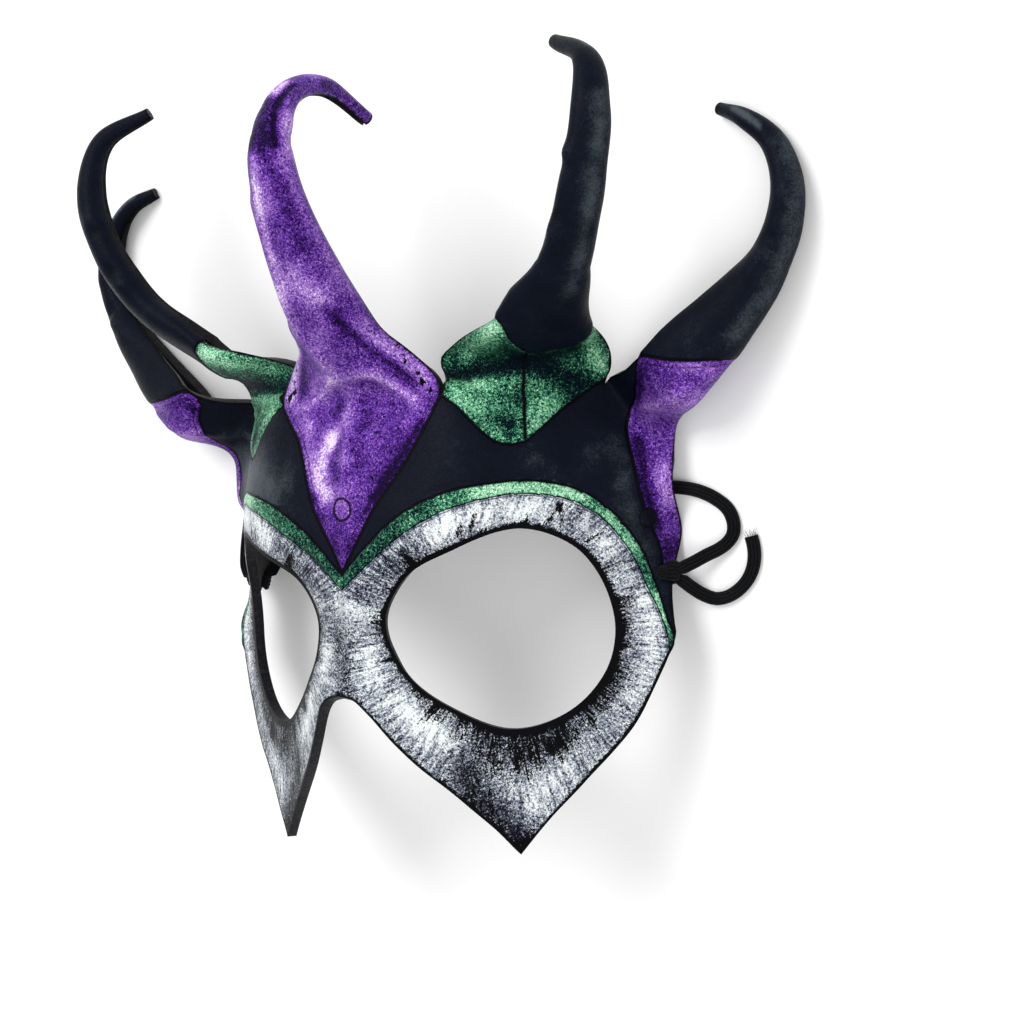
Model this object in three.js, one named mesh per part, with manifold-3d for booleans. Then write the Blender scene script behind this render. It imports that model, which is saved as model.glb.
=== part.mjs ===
// A leather jester mask: one sheet of wet-formed leather with two large eye holes and five
// rolled horns, and the ribbed elastic knotted through its temples. Millimetres.
// The mask is shaped in the wearer's frame (x to the wearer's left, y up the face, z forward,
// zero between the eyes) and then laid on its back, face up, on its temples and outer horns.
import * as THREE from "three";
import { mergeVertices } from "three/addons/utils/BufferGeometryUtils.js";
import Module from "manifold-3d";

// Leather
const leatherThickness = 2.4;
const tipThickness = 1.3;
const thinsFrom = 0.4; // share of a horn's length where the leather starts to thin

// How the mask lies: turned back about its own x axis, and moved so that z = 0 is the table
const recline = 7.53;
const layShift = -35.4;
const layLift = 47.7; // 0.4 mm short of the lowest points, which gives them small flat spots
const tableSize = 400;

// Face surface: how the sheet falls away from the line between the eyes
const foreheadLean = 0.0035;
const foreheadStart = 8;
const browSlope = 1.1;
const browHalfWidth = 32.9;
const browTurn = 6;
const templeHalfWidth = 57;
const templeTurn = 0.1;
const templeTurnLevels = [12, 32];
const templeFlareShare = 1.25;
const cheekSlope = 0.62;
const noseRound = 8;
const noseHeight = 5.2;
const archFlare = 3.2;
const archFlareWidth = 17;
const archFlareLevels = [8, 22];
const browLevel = 22;
const cheekLevel = -4;

// Flat outlines of the wearer's left half, as seen from the front: x, y
const eyeCentre = new THREE.Vector2(35, -3);
const eyeSamples = 360;
const eyeHole = [
  [10.7, 0], [13.7, -10.8], [23, -20.5], [36, -26.6], [48, -22.5], [56, -11.5],
  [57, 2], [52.5, 15.5], [44, 20.5], [29, 15.5], [16.9, 9.5],
];
const noseArch = [
  [0, -18], [4, -19], [7.7, -22.7], [12.4, -29.2], [18, -35.9], [26.2, -44], [33, -51.2], [37, -56],
];
const cheekEdge = [[37, -56], [43, -48], [50.5, -39], [60.5, -26.3], [66.4, -13.8], [69.4, -5.5], [69, -2]];
const templeEdge = [[69, -2], [67.2, 6], [66.8, 13], [67.6, 20], [69.5, 29]];
const outerRootEnd = templeEdge.at(-1);
const innerGap = [25, 52.7];
const outerGap = [55.6, 53.9];
const centreRootTop = 50;
const sideRootDip = 3;

// Horns: the middle line of each roll, its half width and half depth, and how far it is rolled
// shut (degrees from the spine to each cut edge)
const horns = {
  centre: {
    plane: [1, 0, 0],
    line: [[0, 54, -10], [0, 66, -2.5], [0, 80, 7.5], [0, 97, 16.5], [0, 112, 20], [0, 123.5, 13.5],
      [0, 127, 1], [0, 121, -14.5]],
    halfWidth: [24, 13, 9, 6.8, 5.2, 3.6, 2.7, 1.9],
    halfDepth: [7, 8, 7.2, 5.8, 4.6, 3.2, 2.4, 1.7],
    roll: [60, 105, 130, 142, 150, 155, 160, 165],
  },
  side: {
    plane: [0.551, 0, -0.834],
    line: [[44, 56, -21], [50.2, 67, -13.5], [65, 79.5, -4.4], [74.5, 95.5, 1.5], [78.3, 111, 2.5],
      [75.8, 123, 0], [64, 129.3, -5]],
    halfWidth: [17, 13, 6.2, 5.3, 4.6, 3.4, 1.6],
    halfDepth: [5, 4.6, 4.5, 4.2, 3.7, 2.7, 1.6],
    roll: [60, 115, 140, 148, 154, 160, 165],
    // how far the cut edge towards the middle spreads behind the centre horn: t, then x, y, z
    flare: [[0.01, 0, 0, 0], [0.03, -0.7, 1.1, -1.4], [0.05, -6, 2.6, -3.4], [0.07, -8, 3.4, -3.4],
      [0.1, -6, 3.5, -2], [0.12, -3, 2.9, -0.5], [0.14, -1.2, 1.9, -0.2], [0.16, 0.7, 0.6, 0],
      [0.18, 2, -0.3, 0], [0.25, 0, 0, 0]],
  },
  outer: {
    plane: [0.147, 0, -0.989],
    line: [[62, 41, -30.5], [74.5, 53, -30], [90, 65.5, -31], [102, 79, -32], [107.2, 93, -31.5],
      [104.3, 104.5, -31], [97.3, 110.8, -30], [89.9, 114, -32]],
    halfWidth: [9, 8, 6.3, 4.8, 4, 3.2, 2.4, 1.6],
    halfDepth: [8, 9, 7, 4.6, 3.8, 3, 2.2, 1.5],
    roll: [70, 105, 130, 145, 150, 155, 160, 165],
    flare: [[0.02, 0, 0, 0], [0.05, -0.2, 0.6, 0], [0.1, -0.8, 1.8, 0], [0.15, -1.3, 2.8, 0],
      [0.2, -1.4, 3, 0], [0.3, -0.9, 2, 0], [0.4, -0.3, 0.6, 0], [0.5, 0, 0, 0]],
  },
};

// How a horn grows out of the face: the share of its length over which the flat leather turns
// into the roll, and how far and which way the flat leather runs on meanwhile
const rootBlend = 0.17;
const rootReach = 13;
const rootWay = { centre: [0, 1], side: [0.25, 1], outer: [0.2, 0.9] };

// Fineness of the mesh
const faceRings = 6;
const rimSteps = { arch: 9, cheek: 9, temple: 5, middle: 10 };
const hornRows = 22;
const hornColumns = 10;

// Strap hole at the temple, and the knot that wraps the temple's edge there
const strapHole = [65.6, 9];
const holeRadius = 1.7;
const holeSides = 14;
const edgeDistance = 3.4;
const knotRadius = 2.7;
const knotWidth = 3.3;
const knotLength = 5.2;
const knotOffset = 2.1;
const knotRibs = 5;
const knotRibDepth = 0.14;
const knotTaper = 0.35;
const knotSides = 14;
const slitRoom = 0.65;
const gap = 0.3;

// Elastic: a flat ribbed band drawn as a round cord, and its routes as the mask lies on the table
// (x to the wearer's left, y up the face, z up)
const elasticDiameter = 2.4;
const elasticStep = 6;
const elasticSides = 8;
const strapRoute = [
  [69.4, -31, 5], [72.4, -29.7, 3.7], [75.1, -28.4, 2.6], [77.6, -27.4, 1.9], [80, -26, 1.5],
  [81.9, -23.9, 1.3], [82.4, -21, 1.3], [81.2, -17.9, 1.3], [78, -15.3, 1.3], [73.6, -13.4, 1.3],
  [68, -12.4, 1.3], [60, -12.2, 1.3], [46, -11.2, 1.3], [31, -12.4, 1.3], [16, -12.2, 1.3],
  [3, -12, 1.3], [-8.8, -12.2, 1.3], [-13, -10.5, 1.3], [-14.7, -6.3, 1.3], [-13, -2.1, 1.3],
  [-8.8, -0.4, 1.3], [4, -0.2, 1.3], [16, -1.2, 1.3], [27, -1.2, 1.3], [31.2, 0.5, 1.3],
  [32.9, 4.7, 1.3], [31.2, 8.9, 1.3], [27, 10.6, 1.3], [10, 9.8, 1.3], [-8, 9.8, 1.3],
  [-26, 9, 1.3], [-41, 6.2, 1.3], [-53, 0.6, 1.3], [-62, -6.6, 1.3], [-69, -14, 1.3],
  [-71.2, -20, 1.5], [-71.8, -25, 2.5], [-71.2, -28.8, 3.9], [-69.5, -31, 5],
];
const tailRoutes = {
  left: [
    [69, -34.2, 4.6], [70.6, -36.2, 3.2], [72.7, -38, 2], [75.4, -39, 1.4], [78.6, -38.6, 1.3],
    [81.6, -37.2, 1.3], [84.2, -35.1, 1.3], [86, -32.6, 1.3], [87, -29.8, 1.3], [87.2, -27, 1.3],
    [86.8, -24.4, 1.3],
  ],
  right: [
    [-61.8, -30.6, 4.4], [-60.2, -27.5, 3], [-59.2, -23.5, 1.8], [-57.2, -19.5, 1.3],
    [-53, -16, 1.3], [-47.4, -14.2, 1.3], [-40.4, -14, 1.3],
  ],
};

const smooth = (from, to, v) => THREE.MathUtils.smoothstep(v, from, to);

// Height of the leather's outer face in front of the point between the eyes
function faceDepth(x, y) {
  const side = Math.abs(x);
  const above = Math.max(0, y - foreheadStart);
  const beyond = Math.max(0, side - templeHalfWidth);
  const brow = -foreheadLean * above ** 2
    - browSlope * browTurn * Math.log(1 + Math.exp((side - browHalfWidth) / browTurn))
    - templeTurn * beyond ** 2 * (1 - templeFlareShare * smooth(...templeTurnLevels, y));
  const flare = archFlare * Math.exp(-((side / archFlareWidth) ** 2)) * smooth(...archFlareLevels, -y);
  const cheek = noseHeight - cheekSlope * Math.hypot(side, noseRound) + flare;
  return THREE.MathUtils.lerp(cheek, brow, smooth(cheekLevel, browLevel, y));
}

const onFace = (x, y) => new THREE.Vector3(x, y, faceDepth(x, y));

const spline = (points, count) =>
  new THREE.CatmullRomCurve3(points.map(([x, y]) => new THREE.Vector3(x, y, 0)), false, "centripetal")
    .getSpacedPoints(count).map((p) => [p.x, p.y]);

// Points of the eye hole by direction from its middle
const eyeCurve = new THREE.CatmullRomCurve3(
  eyeHole.map(([x, y]) => new THREE.Vector3(x, y, 0)), true, "centripetal",
).getSpacedPoints(eyeSamples);

function eyePoint([x, y]) {
  const aim = new THREE.Vector2(x, y).sub(eyeCentre).normalize();
  let best = null;
  for (const p of eyeCurve) {
    const way = new THREE.Vector2(p.x, p.y).sub(eyeCentre).normalize();
    if (!best || way.dot(aim) > best.fit) best = { fit: way.dot(aim), at: [p.x, p.y] };
  }
  return best.at;
}

// Root row of a horn on the face, from the gap towards the middle (-1) to the other end (+1)
const rootRows = {
  centre: (w) => [innerGap[0] * w, THREE.MathUtils.lerp(centreRootTop, innerGap[1], w * w)],
  side: (w) => [
    THREE.MathUtils.lerp(innerGap[0], outerGap[0], (w + 1) / 2),
    THREE.MathUtils.lerp(innerGap[1], outerGap[1], (w + 1) / 2) - sideRootDip * (1 - w * w),
  ],
  outer: (w) => [
    THREE.MathUtils.lerp(outerGap[0], outerRootEnd[0], (w + 1) / 2),
    THREE.MathUtils.lerp(outerGap[1], outerRootEnd[1], (w + 1) / 2),
  ],
};

const valueAt = (list, t) => {
  const f = t * (list.length - 1);
  const i = Math.min(list.length - 2, Math.floor(f));
  return THREE.MathUtils.lerp(list[i], list[i + 1], f - i);
};

const flareAt = (list, t) => {
  const i = list.findIndex((row) => row[0] >= t);
  if (i < 1) return new THREE.Vector3();
  const [from, to] = [list[i - 1], list[i]];
  const f = (t - from[0]) / (to[0] - from[0]);
  return new THREE.Vector3(...from.slice(1)).lerp(new THREE.Vector3(...to.slice(1)), f);
};

// One point of a horn: t runs from the root to the tip, w across the strip
function hornPoint(name, t, w) {
  const horn = horns[name];
  const curve = new THREE.CatmullRomCurve3(
    horn.line.map((p) => new THREE.Vector3(...p)), false, "centripetal");
  const centre = curve.getPoint(t);
  const along = curve.getTangent(t);
  const across = new THREE.Vector3(...horn.plane).addScaledVector(along,
    -along.dot(new THREE.Vector3(...horn.plane))).normalize();
  const spine = across.clone().cross(along).normalize();
  const angle = THREE.MathUtils.degToRad(valueAt(horn.roll, t)) * w;
  const rolled = centre
    .addScaledVector(across, valueAt(horn.halfWidth, t) * Math.sin(angle))
    .addScaledVector(spine, valueAt(horn.halfDepth, t) * Math.cos(angle));
  const [x, y] = rootRows[name](w);
  const reach = rootReach * Math.min(1, t / rootBlend);
  const flat = onFace(x + rootWay[name][0] * reach, y + rootWay[name][1] * reach);
  const point = flat.lerp(rolled, smooth(0, rootBlend, t));
  return horn.flare ? point.addScaledVector(flareAt(horn.flare, t), smooth(0, 1, -w)) : point;
}

// The sheet: welded points and quads that face outwards
const sheet = { points: [], thickness: [], quads: [], index: new Map() };

function weld(p, thickness) {
  const key = p.toArray().map((v) => Math.round(v * 1000)).join(" ");
  if (!sheet.index.has(key)) {
    sheet.index.set(key, sheet.points.length);
    sheet.points.push(p);
    sheet.thickness.push(thickness);
  }
  return sheet.index.get(key);
}

// A grid of rows and columns, and its mirror image where asked
function patch(rows, thicknessAt, bothSides) {
  for (const side of bothSides ? [1, -1] : [1]) {
    const ids = rows.map((row, i) => {
      const thickness = thicknessAt(i / (rows.length - 1));
      return row.map((p) => weld(new THREE.Vector3(side * p.x, p.y, p.z), thickness));
    });
    for (let i = 0; i + 1 < ids.length; i += 1) {
      for (let j = 0; j + 1 < ids[i].length; j += 1) {
        const quad = [ids[i][j], ids[i][j + 1], ids[i + 1][j + 1], ids[i + 1][j]];
        sheet.quads.push(side > 0 ? quad : quad.reverse());
      }
    }
  }
}

const columnsOf = (name, from) =>
  Array.from({ length: hornColumns + 1 }, (_, j) => -1 + (2 * j) / hornColumns)
    .filter((w) => w >= from - 1e-9).map(rootRows[name]);

// Rim of the left half face, counterclockwise from the nose
const rim = [
  ...spline(noseArch, rimSteps.arch),
  ...spline(cheekEdge, rimSteps.cheek).slice(1),
  ...spline(templeEdge, rimSteps.temple).slice(1),
  ...columnsOf("outer", -1).reverse().slice(1),
  ...columnsOf("side", -1).reverse().slice(1),
  ...columnsOf("centre", 0).reverse().slice(1),
  ...spline([[0, centreRootTop], noseArch[0]], rimSteps.middle).slice(1),
];
const faceRows = rim.map((edge) => {
  const eye = eyePoint(edge);
  return Array.from({ length: faceRings + 1 }, (_, k) => {
    const t = k / faceRings;
    return onFace(THREE.MathUtils.lerp(eye[0], edge[0], t), THREE.MathUtils.lerp(eye[1], edge[1], t));
  });
});
patch(faceRows, () => leatherThickness, true);

for (const name of Object.keys(horns)) {
  const rows = Array.from({ length: hornRows + 1 }, (_, i) =>
    Array.from({ length: hornColumns + 1 }, (_, j) =>
      hornPoint(name, i / hornRows, -1 + (2 * j) / hornColumns)));
  const thicknessAt = (t) =>
    THREE.MathUtils.lerp(leatherThickness, tipThickness, smooth(thinsFrom, 1, t));
  patch(rows, thicknessAt, name !== "centre");
}

// Gives the sheet its thickness, on the side that faces the wearer
function thicken() {
  const normals = sheet.points.map(() => new THREE.Vector3());
  for (const quad of sheet.quads) {
    const [a, b, c, d] = quad.map((i) => sheet.points[i]);
    const normal = c.clone().sub(a).cross(d.clone().sub(b));
    quad.forEach((i) => normals[i].add(normal));
  }
  const back = sheet.points.map((p, i) =>
    p.clone().addScaledVector(normals[i].normalize(), -sheet.thickness[i]));
  const points = [...sheet.points, ...back];
  const shift = sheet.points.length;
  const triangles = [];
  const edges = new Map();
  for (const [a, b, c, d] of sheet.quads) {
    triangles.push([a, b, c], [a, c, d]);
    triangles.push([a + shift, c + shift, b + shift], [a + shift, d + shift, c + shift]);
    for (const [p, q] of [[a, b], [b, c], [c, d], [d, a]]) {
      if (p === q) continue;
      if (edges.has(q + " " + p)) edges.delete(q + " " + p);
      else edges.set(p + " " + q, [p, q]);
    }
  }
  for (const [p, q] of edges.values()) {
    triangles.push([q, p, p + shift], [q, p + shift, q + shift]);
  }
  const geometry = new THREE.BufferGeometry();
  const corners = triangles.filter(([a, b, c]) => a !== b && b !== c && c !== a)
    .flatMap((tri) => tri.flatMap((i) => points[i].toArray()));
  geometry.setAttribute("position", new THREE.Float32BufferAttribute(corners, 3));
  return mergeVertices(geometry, 1e-3);
}

const wasm = await Module();
wasm.setup();

function toSolid(geometry) {
  const bare = geometry.index ? geometry.toNonIndexed() : geometry.clone();
  bare.deleteAttribute("normal");
  bare.deleteAttribute("uv");
  const merged = mergeVertices(bare, 1e-3);
  return new wasm.Manifold(new wasm.Mesh({
    numProp: 3,
    vertProperties: merged.attributes.position.array,
    triVerts: new Uint32Array(merged.index.array),
  }));
}

function toGeometry(solid) {
  const { vertProperties, triVerts } = solid.getMesh();
  const geometry = new THREE.BufferGeometry();
  geometry.setAttribute("position", new THREE.BufferAttribute(vertProperties, 3));
  geometry.setIndex(new THREE.BufferAttribute(triVerts, 1));
  return geometry;
}

// Place of the strap hole: x out to the temple's edge, z out of the face, zero half way through
// the leather
function holeFrame() {
  const [x, y] = strapHole;
  const at = onFace(x, y);
  const out = onFace(x + 1, y).sub(at).normalize();
  const normal = out.clone().cross(onFace(x, y + 1).sub(at)).normalize();
  at.addScaledVector(normal, -leatherThickness / 2);
  return new THREE.Matrix4().makeBasis(out, normal.clone().cross(out), normal).setPosition(at);
}

const frame = holeFrame();

const punch = (radius) =>
  new THREE.CylinderGeometry(radius, radius, 3 * leatherThickness, holeSides)
    .rotateX(Math.PI / 2).applyMatrix4(frame);

// The same shape on the wearer's right
function mirrored(geometry) {
  const copy = geometry.clone().scale(-1, 1, 1);
  const order = copy.index.array;
  for (let i = 0; i < order.length; i += 3) [order[i], order[i + 1]] = [order[i + 1], order[i]];
  return copy;
}

function maskGeometry(lay) {
  const table = new THREE.BoxGeometry(tableSize, tableSize, tableSize)
    .translate(0, 0, -tableSize / 2).applyMatrix4(lay.clone().invert());
  return toGeometry(toSolid(thicken()).subtract(toSolid(punch(holeRadius)))
    .subtract(toSolid(mirrored(punch(holeRadius)))).subtract(toSolid(table)));
}

// The knot wraps the temple's edge: a ribbed barrel, slit for the leather, with a core through
// the hole
function knotGeometry() {
  const profile = [new THREE.Vector2(0, -knotLength / 2)];
  for (let i = 0; i <= knotRibs * 2; i += 1) {
    const t = i / (knotRibs * 2);
    const rib = knotRibDepth * Math.cos(2 * Math.PI * knotRibs * t);
    const round = Math.sqrt(1 - (2 * t - 1) ** 2 * knotTaper);
    profile.push(new THREE.Vector2(knotRadius * round - rib, knotLength * (t - 0.5)));
  }
  profile.push(new THREE.Vector2(0, knotLength / 2));
  const barrel = new THREE.LatheGeometry(profile, knotSides).scale(knotWidth / knotRadius, 1, 1)
    .translate(knotOffset, 0, 0).applyMatrix4(frame);
  const slit = new THREE.BoxGeometry(tableSize, 2 * knotLength, leatherThickness + 2 * slitRoom)
    .translate(edgeDistance + gap - tableSize / 2, 0, 0).applyMatrix4(frame);
  return toGeometry(toSolid(barrel).subtract(toSolid(slit)).add(toSolid(punch(holeRadius - gap))
    .intersect(toSolid(barrel))));
}

// A stretch of elastic along its route
function elasticGeometry(route) {
  const points = route.map((p) => new THREE.Vector3(...p));
  const path = new THREE.CatmullRomCurve3(points, false, "centripetal");
  const section = new THREE.Shape().absarc(0, 0, elasticDiameter / 2, 0, 2 * Math.PI);
  return new THREE.ExtrudeGeometry(section, {
    steps: Math.round(path.getLength() / elasticStep), curveSegments: elasticSides / 2, extrudePath: path,
  });
}

const leather = new THREE.MeshStandardMaterial({ color: 0x5b5b66, roughness: 0.5, metalness: 0.1 });
const elastic = new THREE.MeshStandardMaterial({ color: 0x141416, roughness: 0.85, metalness: 0 });

function piece(name, geometry, material) {
  const mesh = new THREE.Mesh(geometry, material);
  mesh.name = name;
  return mesh;
}

const laid = new THREE.Group();
laid.rotation.x = -THREE.MathUtils.degToRad(recline);
laid.position.set(0, layShift, layLift);
laid.updateMatrix();
laid.add(piece("leather_mask", maskGeometry(laid.matrix), leather));
laid.add(piece("strap_knot_left", knotGeometry(), elastic));
laid.add(piece("strap_knot_right", mirrored(knotGeometry()), elastic));

const object = new THREE.Group();
object.add(laid);
object.add(piece("elastic_strap", elasticGeometry(strapRoute), elastic));
object.add(piece("strap_tail_left", elasticGeometry(tailRoutes.left), elastic));
object.add(piece("strap_tail_right", elasticGeometry(tailRoutes.right), elastic));

export default object;
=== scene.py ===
import math

import bpy
import numpy as np
from mathutils import Matrix, Vector, noise
from mathutils.kdtree import KDTree


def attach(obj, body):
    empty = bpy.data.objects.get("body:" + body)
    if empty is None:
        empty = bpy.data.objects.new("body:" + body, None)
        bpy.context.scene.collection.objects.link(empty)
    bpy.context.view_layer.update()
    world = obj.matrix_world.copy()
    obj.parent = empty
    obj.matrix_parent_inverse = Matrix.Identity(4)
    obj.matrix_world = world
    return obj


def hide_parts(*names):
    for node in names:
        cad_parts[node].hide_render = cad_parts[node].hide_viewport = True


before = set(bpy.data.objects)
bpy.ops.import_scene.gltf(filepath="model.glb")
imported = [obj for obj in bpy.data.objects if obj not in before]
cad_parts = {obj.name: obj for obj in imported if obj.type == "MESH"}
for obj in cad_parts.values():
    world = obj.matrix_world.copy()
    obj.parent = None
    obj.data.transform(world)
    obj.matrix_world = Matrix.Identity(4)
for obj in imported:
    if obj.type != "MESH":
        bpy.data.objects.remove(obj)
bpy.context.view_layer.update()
bpy.ops.object.select_all(action="DESELECT")
mm = 0.001

# the mask is shaped in the wearer's frame and laid on its back: x stays, y runs up the face
lie = {"recline": 7.53, "shift": -35.4, "lift": 47.7}
layDown = Matrix.Translation((0, lie["shift"] * mm, lie["lift"] * mm)) @ Matrix.Rotation(
    math.radians(-lie["recline"]), 4, "X")


# the camera, at the viewing angle
view = {
    "lens": 84.375,
    "place": (376.69, 24.37, 431.65),  # in the wearer's frame
    "right": (0.7982, -0.0332, -0.6015),
    "up": (0.0265, 0.99945, -0.01996),
    "back": (0.6018, 0.0, 0.7986),
}


def makeCamera():
    data = bpy.data.cameras.new("camera")
    data.lens = view["lens"]
    data.sensor_width = 36
    data.sensor_fit = "HORIZONTAL"
    data.clip_start = 0.01
    camera = bpy.data.objects.new("camera", data)
    bpy.context.collection.objects.link(camera)
    axes = Matrix((view["right"], view["up"], view["back"])).transposed().to_4x4()
    camera.matrix_world = layDown @ Matrix.Translation(Vector(view["place"]) * mm) @ axes
    bpy.context.scene.camera = camera


makeCamera()
print("camera set")


# shared helpers
def blend(a, b, t):
    return a + (b - a) * t


def smooth(low, high, v):
    t = np.clip((v - low) / (high - low), 0, 1)
    return t * t * (3 - 2 * t)


def curvePoints(points, ts, closed=False):
    # centripetal Catmull-Rom curve through the points, at the shares ts
    p = np.array(points, float)
    last = len(p) if closed else len(p) - 1
    f = np.clip(np.asarray(ts, float), 0, 1) * last
    i = np.minimum(np.floor(f).astype(int), last - 1)
    s = (f - i)[:, None]
    if closed:
        p0, p1, p2, p3 = (p[(i + k) % len(p)] for k in (-1, 0, 1, 2))
    else:
        longer = np.vstack([2 * p[0] - p[1], p, 2 * p[-1] - p[-2]])
        p0, p1, p2, p3 = (longer[i + k] for k in (0, 1, 2, 3))
    d0, d1, d2 = (np.sqrt(np.linalg.norm(b - a, axis=1))[:, None]
                  for a, b in ((p0, p1), (p1, p2), (p2, p3)))
    t1 = ((p1 - p0) / d0 - (p2 - p0) / (d0 + d1) + (p2 - p1) / d1) * d1
    t2 = ((p2 - p1) / d1 - (p3 - p1) / (d1 + d2) + (p3 - p2) / d2) * d1
    return (p1 + t1 * s + (3 * (p2 - p1) - 2 * t1 - t2) * s ** 2
            + (2 * (p1 - p2) + t1 + t2) * s ** 3)


def evenCurve(points, count, closed=False):
    # the same curve in even steps
    fine = curvePoints(points, np.linspace(0, 1, 1500), closed)
    run = np.concatenate([[0], np.cumsum(np.linalg.norm(np.diff(fine, axis=0), axis=1))])
    at = np.linspace(0, run[-1], count)
    return np.stack([np.interp(at, run, fine[:, k]) for k in range(fine.shape[1])], 1)


def toRow(points):
    # wearer's frame in millimetres to the row's frame in metres
    m = np.array(layDown)
    return (np.asarray(points, float) * mm) @ m[:3, :3].T + m[:3, 3]


def bell(distance, width):
    return np.exp(-((distance / width) ** 2))


def clearSelection():
    bpy.ops.object.select_all(action="DESELECT")


def only(piece):
    clearSelection()
    piece.select_set(True)
    bpy.context.view_layer.objects.active = piece


def joinTo(piece, others):
    only(piece)
    for other in others:
        other.select_set(True)
    bpy.ops.object.join()


def editWhole(piece, *tools):
    # runs the tools on the whole mesh in edit mode
    only(piece)
    bpy.ops.object.mode_set(mode="EDIT")
    bpy.ops.mesh.select_all(action="SELECT")
    for tool in tools:
        tool()
    bpy.ops.object.mode_set(mode="OBJECT")


def turnOutwards():
    bpy.ops.mesh.normals_make_consistent(inside=False)


def weld():
    bpy.ops.mesh.remove_doubles(threshold=0.02 * mm)


def finishPiece(piece, node, sharpAngle):
    only(piece)
    bpy.ops.object.shade_smooth_by_angle(angle=math.radians(sharpAngle))
    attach(piece, "root")
    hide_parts(node)


def placeVertices(obj, points):
    obj.data.vertices.foreach_set("co", np.asarray(points, float).ravel())
    obj.data.update()


def vertexPlaces(obj):
    co = np.empty(len(obj.data.vertices) * 3)
    obj.data.vertices.foreach_get("co", co)
    return co.reshape(-1, 3)


def setValues(obj, name, values, kind="FLOAT"):
    layer = obj.data.attributes.get(name) or obj.data.attributes.new(name, kind, "POINT")
    layer.data.foreach_set("value" if kind == "FLOAT" else "vector", np.asarray(values, float).ravel())


def getValues(obj, name):
    values = np.empty(len(obj.data.vertices))
    obj.data.attributes[name].data.foreach_get("value", values)
    return values


def applyAll(obj):
    only(obj)
    for m in [m.name for m in obj.modifiers]:
        bpy.ops.object.modifier_apply(modifier=m)


# nodes and materials
def addNode(tree, kind, inputs=(), **settings):
    # each input is a value, or a socket that is linked
    node = tree.nodes.new("ShaderNode" + kind)
    for key, value in settings.items():
        setattr(node, key, value)
    for key, value in dict(inputs).items():
        if isinstance(value, bpy.types.NodeSocket):
            tree.links.new(value, node.inputs[key])
        else:
            node.inputs[key].default_value = value
    return node


def calc(tree, operation, a, b=0.0):
    return addNode(tree, "Math", {0: a, 1: b}, operation=operation).outputs[0]


def times(tree, a, b):
    return calc(tree, "MULTIPLY", a, b)


def total(tree, *parts):
    # sum of the parts; a pair is a value and its weight
    values = [times(tree, *part) if isinstance(part, tuple) else part for part in parts]
    result = values[0]
    for value in values[1:]:
        result = calc(tree, "ADD", result, value)
    return result


def highest(tree, *values):
    result = values[0]
    for value in values[1:]:
        result = calc(tree, "MAXIMUM", result, value)
    return result


def inverse(tree, mask):
    return calc(tree, "SUBTRACT", 1.0, mask)


def step(tree, value, low, high):
    # soft step from 0 at low to 1 at high
    return addNode(tree, "MapRange", {"Value": value, "From Min": low, "From Max": high},
                   interpolation_type="SMOOTHSTEP").outputs["Result"]


def lineMask(tree, distance, at, half):
    # 1 on the line where distance equals at, with a soft border
    off = calc(tree, "ABSOLUTE", calc(tree, "SUBTRACT", distance, at))
    return inverse(tree, step(tree, off, half * 0.55, half * 1.45))


def mixColours(tree, share, a, b):
    return addNode(tree, "Mix", {0: share, 6: a, 7: b}, data_type="RGBA").outputs[2]


def mixValues(tree, share, a, b):
    return addNode(tree, "Mix", {0: share, 2: a, 3: b}).outputs[0]


def noiseValue(tree, vector, scale, detail=2.0, rough=0.5, spread=1.0):
    # noise around zero, about -1 to 1 after the spread
    cloud = addNode(tree, "TexNoise", {"Vector": vector, "Scale": scale, "Detail": detail,
                                       "Roughness": rough})
    return times(tree, calc(tree, "SUBTRACT", cloud.outputs["Fac"], 0.5), 4 * spread)


def readValue(tree, name):
    return addNode(tree, "Attribute", attribute_name=name).outputs["Fac"]


def millimetres(tree):
    place = addNode(tree, "TexCoord").outputs["Object"]
    return addNode(tree, "VectorMath", {0: place, "Scale": 1000.0}, operation="SCALE").outputs[0]


def rgb(r, g, b):
    # linear colour from screen values
    return tuple(((v / 255 + 0.055) / 1.055) ** 2.4 if v > 10 else v / 255 / 12.92
                 for v in (r, g, b)) + (1,)


def makeGroup(name, inputs, outputs):
    group = bpy.data.node_groups.new(name, "ShaderNodeTree")
    kinds = {"v": "NodeSocketVector", "f": "NodeSocketFloat", "c": "NodeSocketColor"}
    for label, kind in inputs:
        group.interface.new_socket(label, in_out="INPUT", socket_type=kinds[kind])
    for label, kind in outputs:
        group.interface.new_socket(label, in_out="OUTPUT", socket_type=kinds[kind])
    return group, group.nodes.new("NodeGroupInput").outputs, group.nodes.new("NodeGroupOutput").inputs


def useGroup(tree, group, inputs):
    return addNode(tree, "Group", inputs, node_tree=group).outputs


def startMaterial(name, roughness, specular, sheen=0.0):
    material = bpy.data.materials.new(name)
    material.use_nodes = True
    shader = material.node_tree.nodes["Principled BSDF"]
    shader.inputs["Roughness"].default_value = roughness
    shader.inputs["Specular IOR Level"].default_value = specular
    shader.inputs["Sheen Weight"].default_value = sheen
    return material, material.node_tree, shader


def connect(tree, shader, colour, height):
    # base colour, and bumps whose height is in mm
    tree.links.new(colour, shader.inputs["Base Color"])
    bump = addNode(tree, "Bump", {"Height": height, "Strength": 1.0, "Distance": mm})
    tree.links.new(bump.outputs["Normal"], shader.inputs["Normal"])


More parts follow.
